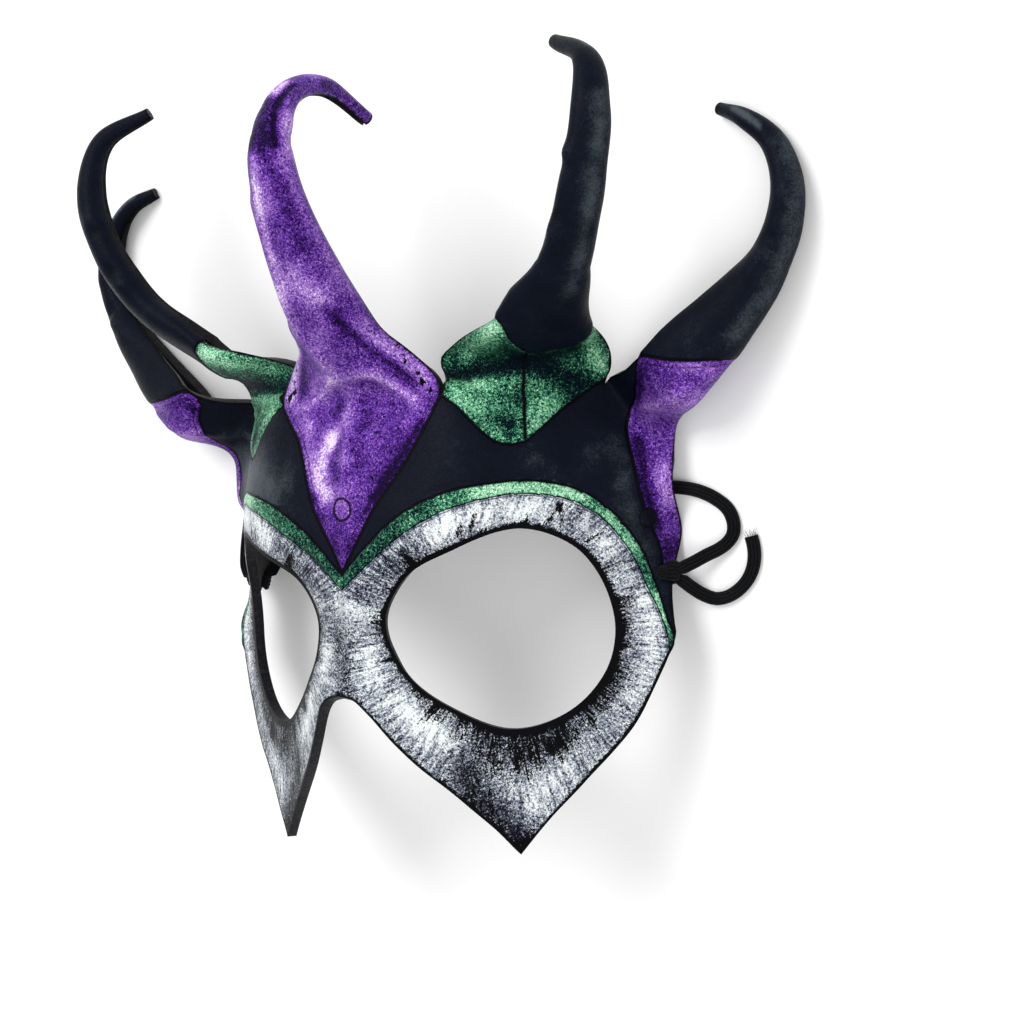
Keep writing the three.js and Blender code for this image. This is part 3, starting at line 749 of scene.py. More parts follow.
# brush dabs of ink and wear, dabs of painted highlight, painted shade and painted sheen, and bumps:
# places on the face (x, y) or on a horn (share, turn), radius in mm, amount; one that starts on the wearer's
# right (x or turn below zero) is there only
dabs = {
    "ink": {
        "face": [([(-2.6, -1), (-1.6, -6), (0.6, -11), (2.4, -16)], 2.8, 0.5), ([(8.2, -1.5)], 2, 0.3),
            ([(30, -30), (38, -32), (45, -30.5)], 5.2, 0.44), ([(33, -36), (39, -36)], 4.5, 0.3),
            ([(25.8, -36.5), (28.5, -41), (33, -47), (36.5, -52)], 4.2, 0.48),
            ([(45, -30), (50.7, -25.8), (55, -20.5), (59, -12.5)], 2.8, 0.38), ([(37, -54)], 3, 0.5),
            ([(59, -7), (60.3, 2)], 2, 0.3), ([(15, -14), (21, -23)], 2.4, 0.22),
            ([(18.2, 13.4)], 2.5, 0.35), ([(10, 8.5)], 3, 0.15),
            ([(34.6, 20.8), (35.6, 24.4)], 0.8, 0.95), ([(32.1, 19.8), (32.5, 22.4)], 0.8, 0.9),
            ([(48.4, 21.8), (49.6, 26.2)], 0.9, 0.75), ([(50.6, 21.6), (50, 26)], 0.8, 0.75),
            ([(44.6, 21.6), (44.8, 23.4)], 0.7, 0.6), ([(54.4, 17.2), (57.4, 19.2)], 0.6, 0.7),
            ([(57, 10.6), (60.4, 12.4)], 0.6, 0.6), ([(57.8, 3), (61.5, 3.6)], 0.6, 0.7),
            ([(20, 12.6), (17.6, 15.6)], 0.8, 0.6), ([(12.6, -9), (8.6, -10.4)], 0.7, 0.5),
            ([(21, -20.6), (17.6, -24.4)], 0.9, 0.5), ([(26, -24.2), (23.8, -28)], 0.9, 0.45)],
    },
    # painted highlights on the silver, on the lit tops of brow, nose and cheek; partly dry-brushed lighter
    # paint
    "silverHighlight": {
        "face": [([(14.4, -21), (18.6, -25.6), (21, -27.6)], 3, 0.6), ([(6.5, -8), (7.7, -13)], 2.8, 0.5),
            ([(0, 4)], 3, 0.35), ([(27, 20.5), (34, 24), (41, 25), (48, 24.5)], 2.8, 0.55),
            ([(54, 21.5), (58.5, 14)], 2.2, 0.3), ([(63, 3), (64.6, -5), (62.5, -13)], 2.4, 0.42),
            ([(65, -8.9), (63.6, -14.7), (60, -20)], 1.8, 0.2),
            ([(39.6, -45), (42, -40.5), (47, -35.5)], 2.4, 0.3), ([(25, 19), (30, 21.6)], 2.6, 0.25)],
    },
    # painted shade on the silver, under the green band, beside the nose and below the eye; partly darker
    # brushwork
    "silverShade": {
        "face": [([(22, 18), (12, 11.5), (5, 6.5)], 2.6, 0.4), ([(60, -22), (50, -35)], 1.5, 0.15),
            ([(60, 16), (63, 8)], 1.6, 0.3), ([(12, -8), (10, -2)], 2.4, 0.3),
            ([(26.3, -36), (27, -40), (31.2, -45.7), (36, -51)], 4.4, 0.55),
            ([(2, -4), (1, -12)], 3, 0.2), ([(62, -14), (61, -6)], 1.6, 0.25)],
    },
    # painted highlights and a painted glint on the purple, where light falls on ridges and on sides facing
    # the lamp; partly dry-brushed lighter paint
    "purpleHighlight": {
        "face": [([(-5.3, 43.2), (-7.6, 37.8), (-8, 33), (-6, 30)], 2.9, 0.75),
            ([(-2.4, 48), (-5.3, 43)], 2.2, 0.4), ([(-13.6, 46.5), (-12.6, 39), (-10.6, 31)], 2.2, 0.45),
            ([(18, 47)], 2.6, 0.15), ([(67.5, 33), (68, 26)], 2.2, 0.45)],
        "centre": [([(0.193, 0.64), (0.139, 0.76), (0.1, 0.84), (0.044, 0.86)], 2.6, 0.4),
            ([(0.12, -0.1), (0.16, 0.0), (0.2, 0.1)], 3, 0.3),
            ([(-0.0, -0.62), (0.059, -0.33), (0.1, 0)], 1.5, 0.3),
            ([(0.1, 0.1), (0.093, 0.37), (0.048, 0.56), (0, 0.74)], 1.2, 0.35),
            ([(0.03, -0.9), (0.09, -0.88), (0.16, -0.6), (0.22, -0.3)], 2.6, 0.4),
            ([(0.27, 0.31), (0.303, 0.12), (0.325, -0.09)], 3.6, 0.5), ([(0.257, 0.78), (0.321, 0.67),
            (0.376, 0.65), (0.422, 0.57), (0.481, 0.53), (0.527, 0.39)], 1.7, 0.3),
            ([(0.356, -0.14), (0.428, -0.13), (0.503, -0.13), (0.533, -0.1)], 1.7, 0.55),
            ([(0.445, 0.05), (0.485, 0.07)], 2.2, 0.3), ([(0.545, 0.67), (0.621, 0.59)], 3, 0.45),
            ([(0.68, 0.07), (0.716, 0.12)], 1.5, 0.8), ([(0.8, 0.2), (0.95, 0.3)], 2, 0.3)],
        "outer": [([(0.075, -0.3), (0.12, -0.2), (0.17, 0.0)], 3.4, 0.3),
            ([(0.19, -0.5), (0.215, -0.35), (0.235, -0.15)], 1.4, 0.3)],
    },
    # painted shade on the purple, in valleys, folds and creases and on the side away from the light; partly
    # darker paint
    "purpleShade": {
        "face": [([(13, 42), (11.5, 33), (7.5, 25)], 2.6, 0.2), ([(3.6, 16.5)], 3, 0.25),
            ([(21, 46), (17, 39.5), (13.2, 34), (9.4, 29)], 1.3, 0.55),
            ([(-11, 27), (-6.5, 20)], 1.2, 0.5),
            ([(3.4, 52), (4.6, 47.5), (2, 42.7), (4.2, 37.9), (1.4, 34)], 1.8, 0.32),
            ([(1, 20)], 3, 0.12), ([(62.6, 40), (64, 30), (64.6, 20)], 1.6, 0.5), ([(66, 14)], 3, 0.4)],
        "centre": [([(0.03, -0.7), (0.02, -0.5)], 2, 0.2),
            ([(0.047, -0.6), (0.08, -0.62), (0.115, -0.6), (0.2, -0.5)], 2, 0.15),
            ([(0.25, 0.3), (0.196, 0.43), (0.141, 0.55), (0.092, 0.63), (0.053, 0.73)], 1.2, 0.3),
            ([(0.359, 0.35), (0.398, 0.41), (0.439, 0.39), (0.488, 0.32), (0.525, 0.28)], 2, 0.2),
            ([(0.554, 0.13), (0.578, 0.1), (0.622, 0.01), (0.65, -0.03)], 2, 0.45),
            ([(0.555, 0.36), (0.6, 0.3), (0.628, 0.26), (0.672, 0.27), (0.72, 0.3)], 0.9, 0.7),
            ([(0.83, 0.55), (0.97, 0.4)], 1.5, 0.35)],
        "outer": [([(0.06, -0.35), (0.1, -0.62), (0.14, -0.8)], 1.6, 0.4),
            ([(0.2, 0.5), (0.15, 0.6)], 4, 0.25), ([(0.16, -0.72), (0.18, -0.45), (0.2, -0.2)], 2, 0.12)],
    },
    # painted highlights on the green, where facets and ridges face the light, partly dry-brushed lighter
    # paint; the dab with a negative amount darkens instead
    "greenHighlight": {
        "face": [([(36, 29.3), (46, 30), (53, 28)], 3, 0.6), ([(57.5, 23.5), (61, 16)], 2, 0.4),
            ([(19, 21.6), (29, 26.6)], 1.4, 0.3), ([(67, -2), (65, 3)], 2, 0.5),
            ([(29.1, 51), (33.5, 49.2)], 2.4, 0.4), ([(47.4, 47.6), (45.4, 49.4)], 2.6, 0.42),
            ([(45, 44.6)], 1.8, 0.35), ([(38.6, 42.4)], 2, 0.35), ([(40, 45)], 2.4, -0.3)],
        "side": [([(0.028, -0.75), (0.04, -0.4)], 2, 0.25),
            ([(0.092, -0.71), (0.145, -0.62), (0.184, -0.58)], 2.4, 0.45),
            ([(0.123, 0.66), (0.081, 0.77), (0.051, 0.88)], 1.8, 0.6),
            ([(0.16, -0.9), (0.18, -0.7)], 2, 0.3)],
    },
    # painted shade on the green, in the valley above the horn's crease and in its folds
    "greenShade": {
        "face": [([(25, 25.8), (14, 19.5), (5, 11.5)], 4, 0.3), ([(38.8, 46), (40.6, 43.5)], 2, 0.35),
            ([(51, 50.6)], 1.6, 0.5)],
        "side": [([(0.044, -0.9), (0.055, -0.62), (0.072, -0.44), (0.081, -0.31), (0.092, -0.14)], 1.9, 0.7),
            ([(0.09, 0), (0.076, 0.16), (0.064, 0.3), (0.043, 0.5), (0.019, 0.77)], 2.5, 0.62),
            ([(0.11, 0.1), (0.11, 0.4)], 2.4, 0.35), ([(0.135, -0.35), (0.11, -0.2)], 1.8, 0.45),
            ([(0.02, -0.02), (0.0, 0.06)], 1.4, 0.3)],
    },
    # painted sheen on the black leather where it faces the light, along the horn tubes and over the forehead
    "blackSheen": {
        "side": [([(0.3, 0.1), (0.5, 0.08), (0.7, 0.1)], 3, 0.32),
            ([(0.86, 0.1), (0.95, 0.2)], 1.2, 0.5)],
        "outer": [([(0.3, -0.2), (0.5, -0.1), (0.7, -0.1)], 3, 0.3),
            ([(0.78, -0.4), (0.9, -0.3)], 1, 0.5)],
        "face": [([(58, 40), (53, 37), (46, 35)], 5, 0.16), ([(60, 30), (62, 18), (65, 6)], 3.4, 0.2),
            ([(-62, 38), (-50, 35), (-38, 36), (-26, 31)], 9, 0.4)],
    },
    "wornBlack": {
        "centre": [([(0.048, 0.83)], 1.1, 1), ([(0.104, 0.82)], 1, 1), ([(0.07, 0.84)], 0.9, 0.9),
            ([(0.13, 0.91)], 1.2, 0.9), ([(0.02, 0.9)], 0.9, 0.9), ([(0.03, -0.9)], 0.9, 0.8)],
    },
    "bump": {  # dents and kinks of the rolled leather, amount in mm
        "centre": [([(0.281, -0.1)], 3, 0.5), ([(0.235, 0.45)], 2.5, -0.7), ([(0.62, 0.62)], 2.6, 0.6),
            ([(0.57, 0.75)], 1.6, -0.5),
            ([(0.555, 0.36), (0.6, 0.3), (0.628, 0.26), (0.672, 0.27), (0.72, 0.3)], 0.8, -0.5)],
        "side": [([(0.408, -0.46)], 2.4, 0.8), ([(0.44, -0.5)], 2, -0.7), ([(0.568, -0.55)], 2.2, 0.8),
            ([(0.54, -0.55)], 1.8, -0.5), ([(0.33, -0.6)], 3, 0.5)],
        "outer": [([(0.438, -0.5)], 2, 0.9), ([(0.469, -0.5)], 1.8, -0.7), ([(0.4, -0.6)], 2.6, 0.5),
            ([(0.56, -0.45)], 2, 0.35)],
        "face": [([(44, 45)], 5, 0.5), ([(61, 35)], 4, 0.35), ([(30, 38)], 6, 0.4),
            ([(52, 40)], 5, -0.35)],
    },
}


def dabbed(points, name):
    # sum of the brush dabs at each point
    strength = np.zeros(len(points))
    for where, rows in dabs[name].items():
        for places, radius, amount in rows:
            run = np.array(places, float)
            if len(run) > 1:
                run = evenCurve(run, 24)
            start = {"face": run[0, 0], "centre": run[0, 1]}.get(where, 0)
            run = onSheet(where, run)
            near = awayFrom(points, run)
            if start >= 0:
                near = np.minimum(near, awayFrom(points, run * (-1, 1, 1)))
            strength += amount * bell(near, radius)
    return strength


relief = {
    # mm that the outer side is raised along a tooled line, and how wide
    "diamond": (-0.3, 0.8), "sidePanel": (-0.3, 0.8), "outerPanel": (-0.3, 0.9),
    "bandUpper": (-0.2, 0.7), "bandLower": (-0.15, 0.7), "sideSeam": (-0.45, 0.7),
    "arch": (1.15, 1.8), "archRidge": (1.1, 3.6), "foldRight": (-0.6, 1.6), "hornRidge": (0.7, 2.2),
    "sideCrease": (0.8, 1.3), "outerCrease": (0.8, 1.4),
    "ridgeStops": 2.5,  # mm from the arch
    "foldBeyond": 0.4,  # share of the fold that is left beyond the middle
    "band": (0.25, 0.8),  # the green band stands proud, and its shoulders' width
    "hollow": (1.7, 0.15, 0.04), "lobe": (0.42, 0.24),  # beside the arch: depth, share, turn
    "sideDip": (1.1, 0.098, 0.022), "cuff": 0.4, "cuffFades": 7, "wave": 0.35, "waveSize": 11,
}


def zonesOf(wearer, left, share, turn, kind, away):
    # mm from the border of each painted zone, positive inside it
    face, centre, side, outer = (kind == k for k in range(4))
    xy = left[:, :2]
    onLeft = wearer[:, 0] > 0

    def drawnPoints(name, part=0):
        return list(tooled[name][part][1])

    def within(name, corners):
        return face & inside(xy, drawnPoints(name) + corners)

    def beyondBorder(name):
        raised, border = np.array(drawnPoints(name)), np.array(drawnPoints(name, 1))[::-1]
        past = (xy[:, 0] > np.interp(xy[:, 1], border[:, 1], border[:, 0])) & (xy[:, 1] > 9)
        above = share > np.interp(turn, raised[:, 1], raised[:, 0])
        return signed(away[name], (face & past & (xy[:, 1] < 48)) | (outer & above))

    zone = {}
    for name, corners in (("bandUpper", [(90, -7), (90, -99), (-9, -99), (-9, 7)]),
                          ("bandLower", [(90, -9), (90, -99), (-9, -99), (-9, 3)])):
        zone[name] = signed(away[name], ~within(name, corners))
    zone["diamond"] = np.where(onLeft, *(
        signed(away[name], centre | within(name, [(25, 80), (-9, 80), (-9, 17)]))
        for name in ("diamond", "diamondRight")))
    corner = np.array(drawnPoints("sidePanel", 1))
    notch = side & (turn > corner[0, 1]) & (share < np.interp(turn, corner[:, 1], corner[:, 0]))
    panel = signed(away["sidePanel"], (side & ~notch) | within("sidePanel", [(53, 80), (25, 80)]))
    zone["outerPanel"] = np.where(onLeft, beyondBorder("outerPanel"), beyondBorder("outerRight"))
    zone["sideTube"] = signed(away["sideCuff"], side & (share > levelAt("sideCuff", turn)))
    zone["outerTube"] = signed(away["outerCuff"], outer & (share > levelAt("outerCuff", turn)))
    zone["purple"] = np.maximum(zone["diamond"], np.minimum(zone["outerPanel"], -zone["outerTube"]))
    zone["green"] = np.maximum(np.minimum(zone["bandLower"], -zone["bandUpper"]),
                               np.minimum(panel, -zone["sideTube"]))
    zone["silver"] = -zone["bandLower"]
    seamTurn, seamFace = (np.array(drawnPoints("sideSeam", k))[::-1] for k in (0, 1))
    zone["seam"] = signed(away["sideSeam"], np.where(
        side, turn > np.interp(share, seamTurn[:, 0], seamTurn[:, 1]),
        xy[:, 0] > np.interp(xy[:, 1], seamFace[:, 1], seamFace[:, 0])))
    return zone


def reliefOf(wearer, share, turn, kind, away, zone):
    # mm that the outer side is raised, and the hollows in it beside the arch
    def ridge(name, distance):
        amount, width = relief[name]
        return amount * bell(distance, width)

    lift = ridge("diamond", zone["diamond"]) + ridge("outerPanel", zone["outerPanel"])
    for name in ("sidePanel", "bandUpper", "bandLower", "sideSeam", "arch", "hornRidge", "sideCrease",
                 "outerCrease"):
        lift += ridge(name, away[name])
    lift += ridge("archRidge", away["archRidge"]) * (1 - bell(away["arch"], relief["ridgeStops"]))
    lift += ridge("foldRight", away["foldRight"]) * np.where(wearer[:, 0] > 0, 1, relief["foldBeyond"])
    height, shoulder = relief["band"]
    lift += height * smooth(0, shoulder, zone["bandLower"]) * smooth(0, shoulder, -zone["bandUpper"])
    for tube in (zone["sideTube"], zone["outerTube"]):
        lift += relief["cuff"] * smooth(-0.4, 0.5, tube) * np.exp(-np.maximum(tube, 0) / relief["cuffFades"])
    depth, at, width = relief["hollow"]
    lobeAt, lobeWidth = relief["lobe"]
    lobes = bell(turn + lobeAt, lobeWidth) + bell(turn - lobeAt, lobeWidth)
    hollows = np.where(kind == hornNumber["centre"], depth * bell(share - at, width) * lobes, 0)
    depth, at, width = relief["sideDip"]
    lift -= hollows + np.where(kind == hornNumber["side"],
                               depth * bell(share - at, width) * smooth(1, 0.75, np.abs(turn)), 0)
    lift += dabbed(wearer, "bump")
    lift += relief["wave"] * np.array([noise.noise(Vector(p) / relief["waveSize"]) for p in wearer])
    return lift, hollows


inkReach = {  # how far the ink reaches from the eye hole, by direction from its middle, in mm
    "angle": [0, 30, 60, 90, 120, 150, 180, 210, 240, 270, 300, 330, 360],
    "strokes": [4, 2.4, 2, 2, 2.6, 3, 2.4, 3, 5, 6.5, 6.5, 6.5, 4],
    "rim": [1.5, 1.2, 0.9, 0.7, 1, 0.8, 0.6, 0.5, 0.6, 1.1, 1.3, 1.5, 1.5],
    "solid": 1.25, "brushed": 0.38, "fades": 1.6,
    "cutEdge": (1.4, 0.6), "nearCut": (0.3, 2),  # amount and width
}


def inkOf(left, aim, cut):
    eye = awayFrom(left, onSheet("face", evenCurve(leather["eyeHole"], 900, closed=True)))
    angle = np.degrees(np.arctan2(aim[:, 1], aim[:, 0])) % 360
    strokes, rim = (np.interp(angle, inkReach["angle"], inkReach[k]) for k in ("strokes", "rim"))
    ink = inkReach["solid"] * bell(eye, rim)
    ink += inkReach["brushed"] * np.exp(-((eye / strokes) ** inkReach["fades"]))
    amount, width = inkReach["cutEdge"]
    ink += amount * bell(cut, width)
    amount, width = inkReach["nearCut"]
    return ink + amount * np.exp(-cut / width)


tones = {
    "lift": 0.2, "hollows": 0.2, "purple": 0.05,  # raised leather is lighter and its grooves darker: painted highlight and painted shade, partly dry-brushed paint
    # painted highlight and painted shade on the silver; the ink is thinner under the painted highlights and
    # thicker in the painted shade
    "silverHighlight": 0.75, "silverShade": -0.7, "inkInHighlight": -0.45, "inkInShade": 0.12,
    "strokesAcross": 22, "strokesAlong": 0.1, "otherHalf": 30,  # the brush marks' own places
}


def paintSheet(sheet):
    # stores where each paint lies and its painted highlights, shade and sheen, and returns how far the
    # leather is raised, in mm
    wearer = np.stack([getValues(sheet, "wearer" + k) for k in "XYZ"], 1)
    left = np.column_stack([np.abs(wearer[:, 0]), wearer[:, 1:]])
    share, turn, kind = (getValues(sheet, "horn" + k) for k in ("Share", "Turn", "Kind"))
    kind = np.where(share < 1e-4, 0, np.rint(kind))
    away = {name: awayFrom(wearer if name in notMirrored else left, linePoints(name)) for name in tooled}
    zone = zonesOf(wearer, left, share, turn, kind, away)
    lift, hollows = reliefOf(wearer, share, turn, kind, away, zone)
    purple, green, silver = (zone[n] for n in ("purple", "green", "silver"))
    dab = {name: dabbed(wearer, name) for name in dabs if name != "bump"}

    cut = awayFrom(left, left[cutEdgePoints(sheet)])
    aim = left[:, :2] - np.array(leather["eyeCentre"])
    # the brushed ink, thinned under the painted highlights on the silver and thickened in its painted shade
    ink = (inkOf(left, aim, cut) + dab["ink"] + tones["inkInHighlight"] * dab["silverHighlight"]
           + tones["inkInShade"] * dab["silverShade"])
    # tone: painted highlight on raised leather and painted shade in its grooves and creases, partly
    # dry-brushed paint, then each paint's painted highlights and shade and the painted sheen on the black
    tone = tones["lift"] * lift + tones["hollows"] * hollows
    tone += np.where(purple > 0, tones["purple"] + dab["purpleHighlight"] - dab["purpleShade"], 0)
    tone += np.where(green > 0, dab["greenHighlight"] - dab["greenShade"], 0)
    tone += np.where(silver > 0, tones["silverHighlight"] * dab["silverHighlight"]
                     + tones["silverShade"] * dab["silverShade"], 0)
    tone += np.where((purple < 0) & (green < 0) & (silver < 0), dab["blackSheen"], 0)
    values = {"purple": purple, "green": green, "silver": silver, "seam": zone["seam"], "ink": ink,
              "tone": tone, "cutEdge": cut, "worn": dab["wornBlack"]}
    for name, part in values.items():
        setValues(sheet, name, part)
    # the strokes run out from the eye: their pattern is stretched that way
    far = np.linalg.norm(aim, axis=1)
    across = aim / far[:, None] * tones["strokesAcross"]
    along = far * tones["strokesAlong"] + tones["otherHalf"] * smooth(-1.5, 1.5, wearer[:, 0])
    setValues(sheet, "brush", np.column_stack([across, along]), "FLOAT_VECTOR")
    return lift


lift = paintSheet(sheet)
print("paint planned")


# materials of the leather
def grainGroup():
    # pores and fine wrinkles of the leather, height in mm
    group, given, out = makeGroup("leatherGrain", [("Vector", "v")], [("Height", "f"), ("Pores", "f")])
    warp = addNode(group, "TexNoise", {"Vector": given["Vector"], "Scale": 0.5, "Detail": 2})
    bent = addNode(group, "VectorMath", {0: warp.outputs["Color"], "Scale": 1.6}, operation="SCALE")
    place = addNode(group, "VectorMath", {0: given["Vector"], 1: bent.outputs[0]}, operation="ADD")
    cells = addNode(group, "TexVoronoi", {"Vector": place.outputs[0], "Scale": 1.25},
                    feature="DISTANCE_TO_EDGE")
    furrow = step(group, cells.outputs["Distance"], 0.0, 0.16)
    fine = noiseValue(group, given["Vector"], 2.2, 3, 0.6)
    folds = noiseValue(group, given["Vector"], 0.35, 2, 0.5)
    group.links.new(total(group, (furrow, 0.04), (fine, 0.03), (folds, 0.04)), out["Height"])
    group.links.new(furrow, out["Pores"])
    return group


def paintGroup():
    # dry-brushed metallic paint: dark in the pores, light on worm-like grains; the Tone input adds painted
    # highlights and painted shade, and the top of the range is a painted glint
    group, given, out = makeGroup(
        "brushedPaint",
        [("Vector", "v"), ("Tone", "f"), ("Speckle", "f"), ("Dark", "c"), ("Middle", "c"), ("Light", "c"),
         ("Glint", "c")],
        [("Color", "c"), ("Value", "f")])
    grain = times(group, noiseValue(group, given["Vector"], 1.7, 2, 0.6), 0.75)
    for scale, width in ((0.95, 0.07), (1.7, 0.1)):
        bent = addNode(group, "TexNoise", {"Vector": given["Vector"], "Scale": scale, "Detail": 1.0,
                                           "Distortion": 1.1})
        vein = calc(group, "ABSOLUTE", calc(group, "SUBTRACT", bent.outputs["Fac"], 0.5))
        worm = calc(group, "SUBTRACT", 0.6, step(group, vein, 0.0, width))
        grain = total(group, grain, (worm, 0.75))
    patch = noiseValue(group, given["Vector"], 0.22, 3, 0.55)
    value = total(group, given["Tone"], (grain, given["Speckle"]), (patch, 0.1))
    colour = given["Dark"]
    for low, high, name in ((-0.4, 0.0, "Middle"), (0.0, 0.5, "Light"), (0.5, 1.0, "Glint")):
        colour = mixColours(group, step(group, value, low, high), colour, given[name])
    group.links.new(colour, out["Color"])
    group.links.new(value, out["Value"])
    return group


paints = {  # dark, middle, light and glint, and how strong the grain is; the dark end takes the painted shade, the light and glint the painted highlights, and for the black leather its painted sheen
    "purple": (rgb(18, 6, 40), rgb(82, 36, 140), rgb(158, 112, 198), rgb(240, 224, 246), 0.44),
    "green": (rgb(3, 12, 22), rgb(34, 100, 78), rgb(126, 198, 150), rgb(222, 250, 228), 0.64),
    "silver": (rgb(19, 16, 30), rgb(116, 122, 138), rgb(214, 221, 223), rgb(250, 254, 252), 0.56),
    "leather": (rgb(2, 3, 8), rgb(8, 13, 26), rgb(66, 74, 80), rgb(128, 134, 138), 0.09),
}
inks = {"line": rgb(2, 2, 5), "navy": rgb(36, 42, 80)}
drawing = {  # half widths of the lines in mm; where given, their place and their strength too
    "border": 0.42, "band": 0.3, "disc": (0.22, 0.85), "ring": (0.3, 0.92),
    "navy": (0.35, 0.16, 0.75), "inner": (1.75, 0.2, 0.55), "softEdge": 0.12, "cutEdge": (0.3, 0.85),
}


def paintUse(tree, group, name, vector, tone):
    dark, middle, light, glint, speckle = paints[name]
    return useGroup(tree, group, {"Vector": vector, "Tone": tone, "Speckle": speckle, "Dark": dark,
                                  "Middle": middle, "Light": light, "Glint": glint})


def distanceFrom(tree, at):
    # from a place on the face, the same on both sides
    x, y, z = (readValue(tree, "wearer" + k) for k in "XYZ")
    place = addNode(tree, "CombineXYZ", {0: calc(tree, "ABSOLUTE", x), 1: y, 2: z}).outputs[0]
    centre = tuple(map(float, onSheet("face", np.array([at], float))[0]))
    return addNode(tree, "VectorMath", {0: place, 1: centre}, operation="DISTANCE").outputs["Value"]


def paintedLeather(grain, paint):
    material, tree, shader = startMaterial("paintedLeather", 0.4, 0.05)
    place = millimetres(tree)
    skin = useGroup(tree, grain, {"Vector": place})
    purple, green, silver, seam, tone, ink, cut, worn = (
        readValue(tree, n) for n in ("purple", "green", "silver", "seam", "tone", "ink", "cutEdge", "worn"))
    brushed = addNode(tree, "Attribute", attribute_name="brush").outputs["Vector"]
    ragged = noiseValue(tree, place, 1.1, 2, 0.6)
    wobble = times(tree, noiseValue(tree, place, 0.5, 1), 0.12)
    disc, ring = (distanceFrom(tree, studs[n]) for n in ("disc", "ring"))
    discRadius, ringRadius = studs["discRadius"], studs["ringRadius"]

    # the four paints, and the ink brushed over the silver
    # the tone attribute brings painted highlights, painted shade and painted sheen into each paint
    blackPart = paintUse(tree, paint, "leather", place, total(tree, tone, -0.08))
    inRing = step(tree, times(tree, ring, -1.0), 0.2 - ringRadius, 0.7 - ringRadius)
    purplePart = paintUse(tree, paint, "purple", place, total(tree, tone, (inRing, 0.16)))
    greenPart = paintUse(tree, paint, "green", place, tone)
    streak = noiseValue(tree, brushed, 2.3, 2, 0.6, 1.2)
    stroke = noiseValue(tree, brushed, 0.5, 2, 0.6)
    silverPart = paintUse(tree, paint, "silver", place,
                          total(tree, tone, (streak, 0.42), (stroke, 0.24), 0.18))
    speck = noiseValue(tree, place, 2.4, 2, 0.65, 1.2)
    inkMask = step(tree, total(tree, ink, (streak, 0.4), (stroke, 0.24), (speck, 0.38)), 0.45, 0.72)

    # where each of them lies
    soft = drawing["softEdge"]
    offDisc = step(tree, disc, discRadius - soft, discRadius + soft)
    inPurple, inGreen, inSilver = (step(tree, total(tree, zone, wobble), -soft, soft)
                                   for zone in (purple, green, silver))
    inPurple = times(tree, inPurple, offDisc)
    colour = mixColours(tree, inPurple, blackPart["Color"], purplePart["Color"])
    colour = mixColours(tree, inGreen, colour, greenPart["Color"])
    silverColour = mixColours(tree, inkMask, silverPart["Color"], inks["line"])
    colour = mixColours(tree, inSilver, colour, silverColour)
    wornOff = step(tree, total(tree, worn, (ragged, 0.35)), 0.5, 0.65)
    colour = mixColours(tree, wornOff, colour, inks["line"])

    # tooled lines
    drawn = highest(
        tree,
        times(tree, lineMask(tree, purple, 0.0, drawing["border"]), offDisc),
        times(tree, lineMask(tree, green, 0.0, drawing["band"]), inverse(tree, inSilver)),
        times(tree, lineMask(tree, seam, 0.0, drawing["border"]), step(tree, green, 0.2, 0.6)),
        times(tree, lineMask(tree, disc, discRadius, drawing["disc"][0]), drawing["disc"][1]),
        times(tree, lineMask(tree, ring, ringRadius, drawing["ring"][0]), drawing["ring"][1]))
    colour = mixColours(tree, drawn, colour, inks["line"])
    navy, inner = (times(tree, lineMask(tree, zone, *drawing[n][:2]), drawing[n][2])
                   for n, zone in (("navy", silver), ("inner", purple)))
    colour = mixColours(tree, navy, colour, inks["navy"])
    colour = mixColours(tree, inner, colour, paints["purple"][0])
    edgeInk = inverse(tree, step(tree, total(tree, cut, (ragged, 0.3)), *drawing["cutEdge"]))
    colour = mixColours(tree, edgeInk, colour, inks["line"])

    # metal paint shines, ink and bare leather are duller
    dark = highest(tree, drawn, edgeInk, times(tree, inkMask, inSilver))
    metal = times(tree, highest(tree, inPurple, inGreen, inSilver), inverse(tree, dark))
    rough = total(tree, (skin["Pores"], -0.08), (ragged, 0.03), mixValues(tree, metal, 0.46, 0.42))
    tree.links.new(times(tree, metal, 0.45), shader.inputs["Metallic"])
    tree.links.new(rough, shader.inputs["Roughness"])

    crumbs = total(tree, (inPurple, purplePart["Value"]), (inGreen, greenPart["Value"]),
                   (inSilver, silverPart["Value"]))
    height = total(tree, (skin["Height"], mixValues(tree, metal, 0.8, 1.8)), (drawn, -0.22), (inner, -0.08),
                   (navy, -0.06), (crumbs, 0.03), (streak, times(tree, inSilver, 0.012)))
    connect(tree, shader, colour, height)
    return material


def suedeSide(grain):
    material, tree, shader = startMaterial("suedeSide", 0.86, 0.1, 0.08)
    place = millimetres(tree)
    nap = noiseValue(tree, place, 0.25, 3, 0.6)
    fibre = noiseValue(tree, place, 2.6, 3, 0.7)
    value = total(tree, (nap, 0.35), (fibre, 0.3), 0.5)
    colour = mixColours(tree, step(tree, value, 0.0, 1.0), rgb(8, 8, 12), rgb(40, 38, 42))
    skin = useGroup(tree, grain, {"Vector": place})
    connect(tree, shader, colour, total(tree, (fibre, 0.05), skin["Height"]))
    return material


def inkedEdge(grain):
    material, tree, shader = startMaterial("inkedEdge", 0.48, 0.14)
    place = millimetres(tree)
    layer = noiseValue(tree, place, 0.8, 3, 0.65)
    colour = mixColours(tree, step(tree, layer, -0.6, 1.4), rgb(6, 6, 10), rgb(38, 35, 44))
    connect(tree, shader, colour, useGroup(tree, grain, {"Vector": place})["Height"])
    return material


grain, brushedPaint = grainGroup(), paintGroup()
for material in (paintedLeather(grain, brushedPaint), suedeSide(grain), inkedEdge(grain)):
    sheet.data.materials.append(material)
print("leather painted")


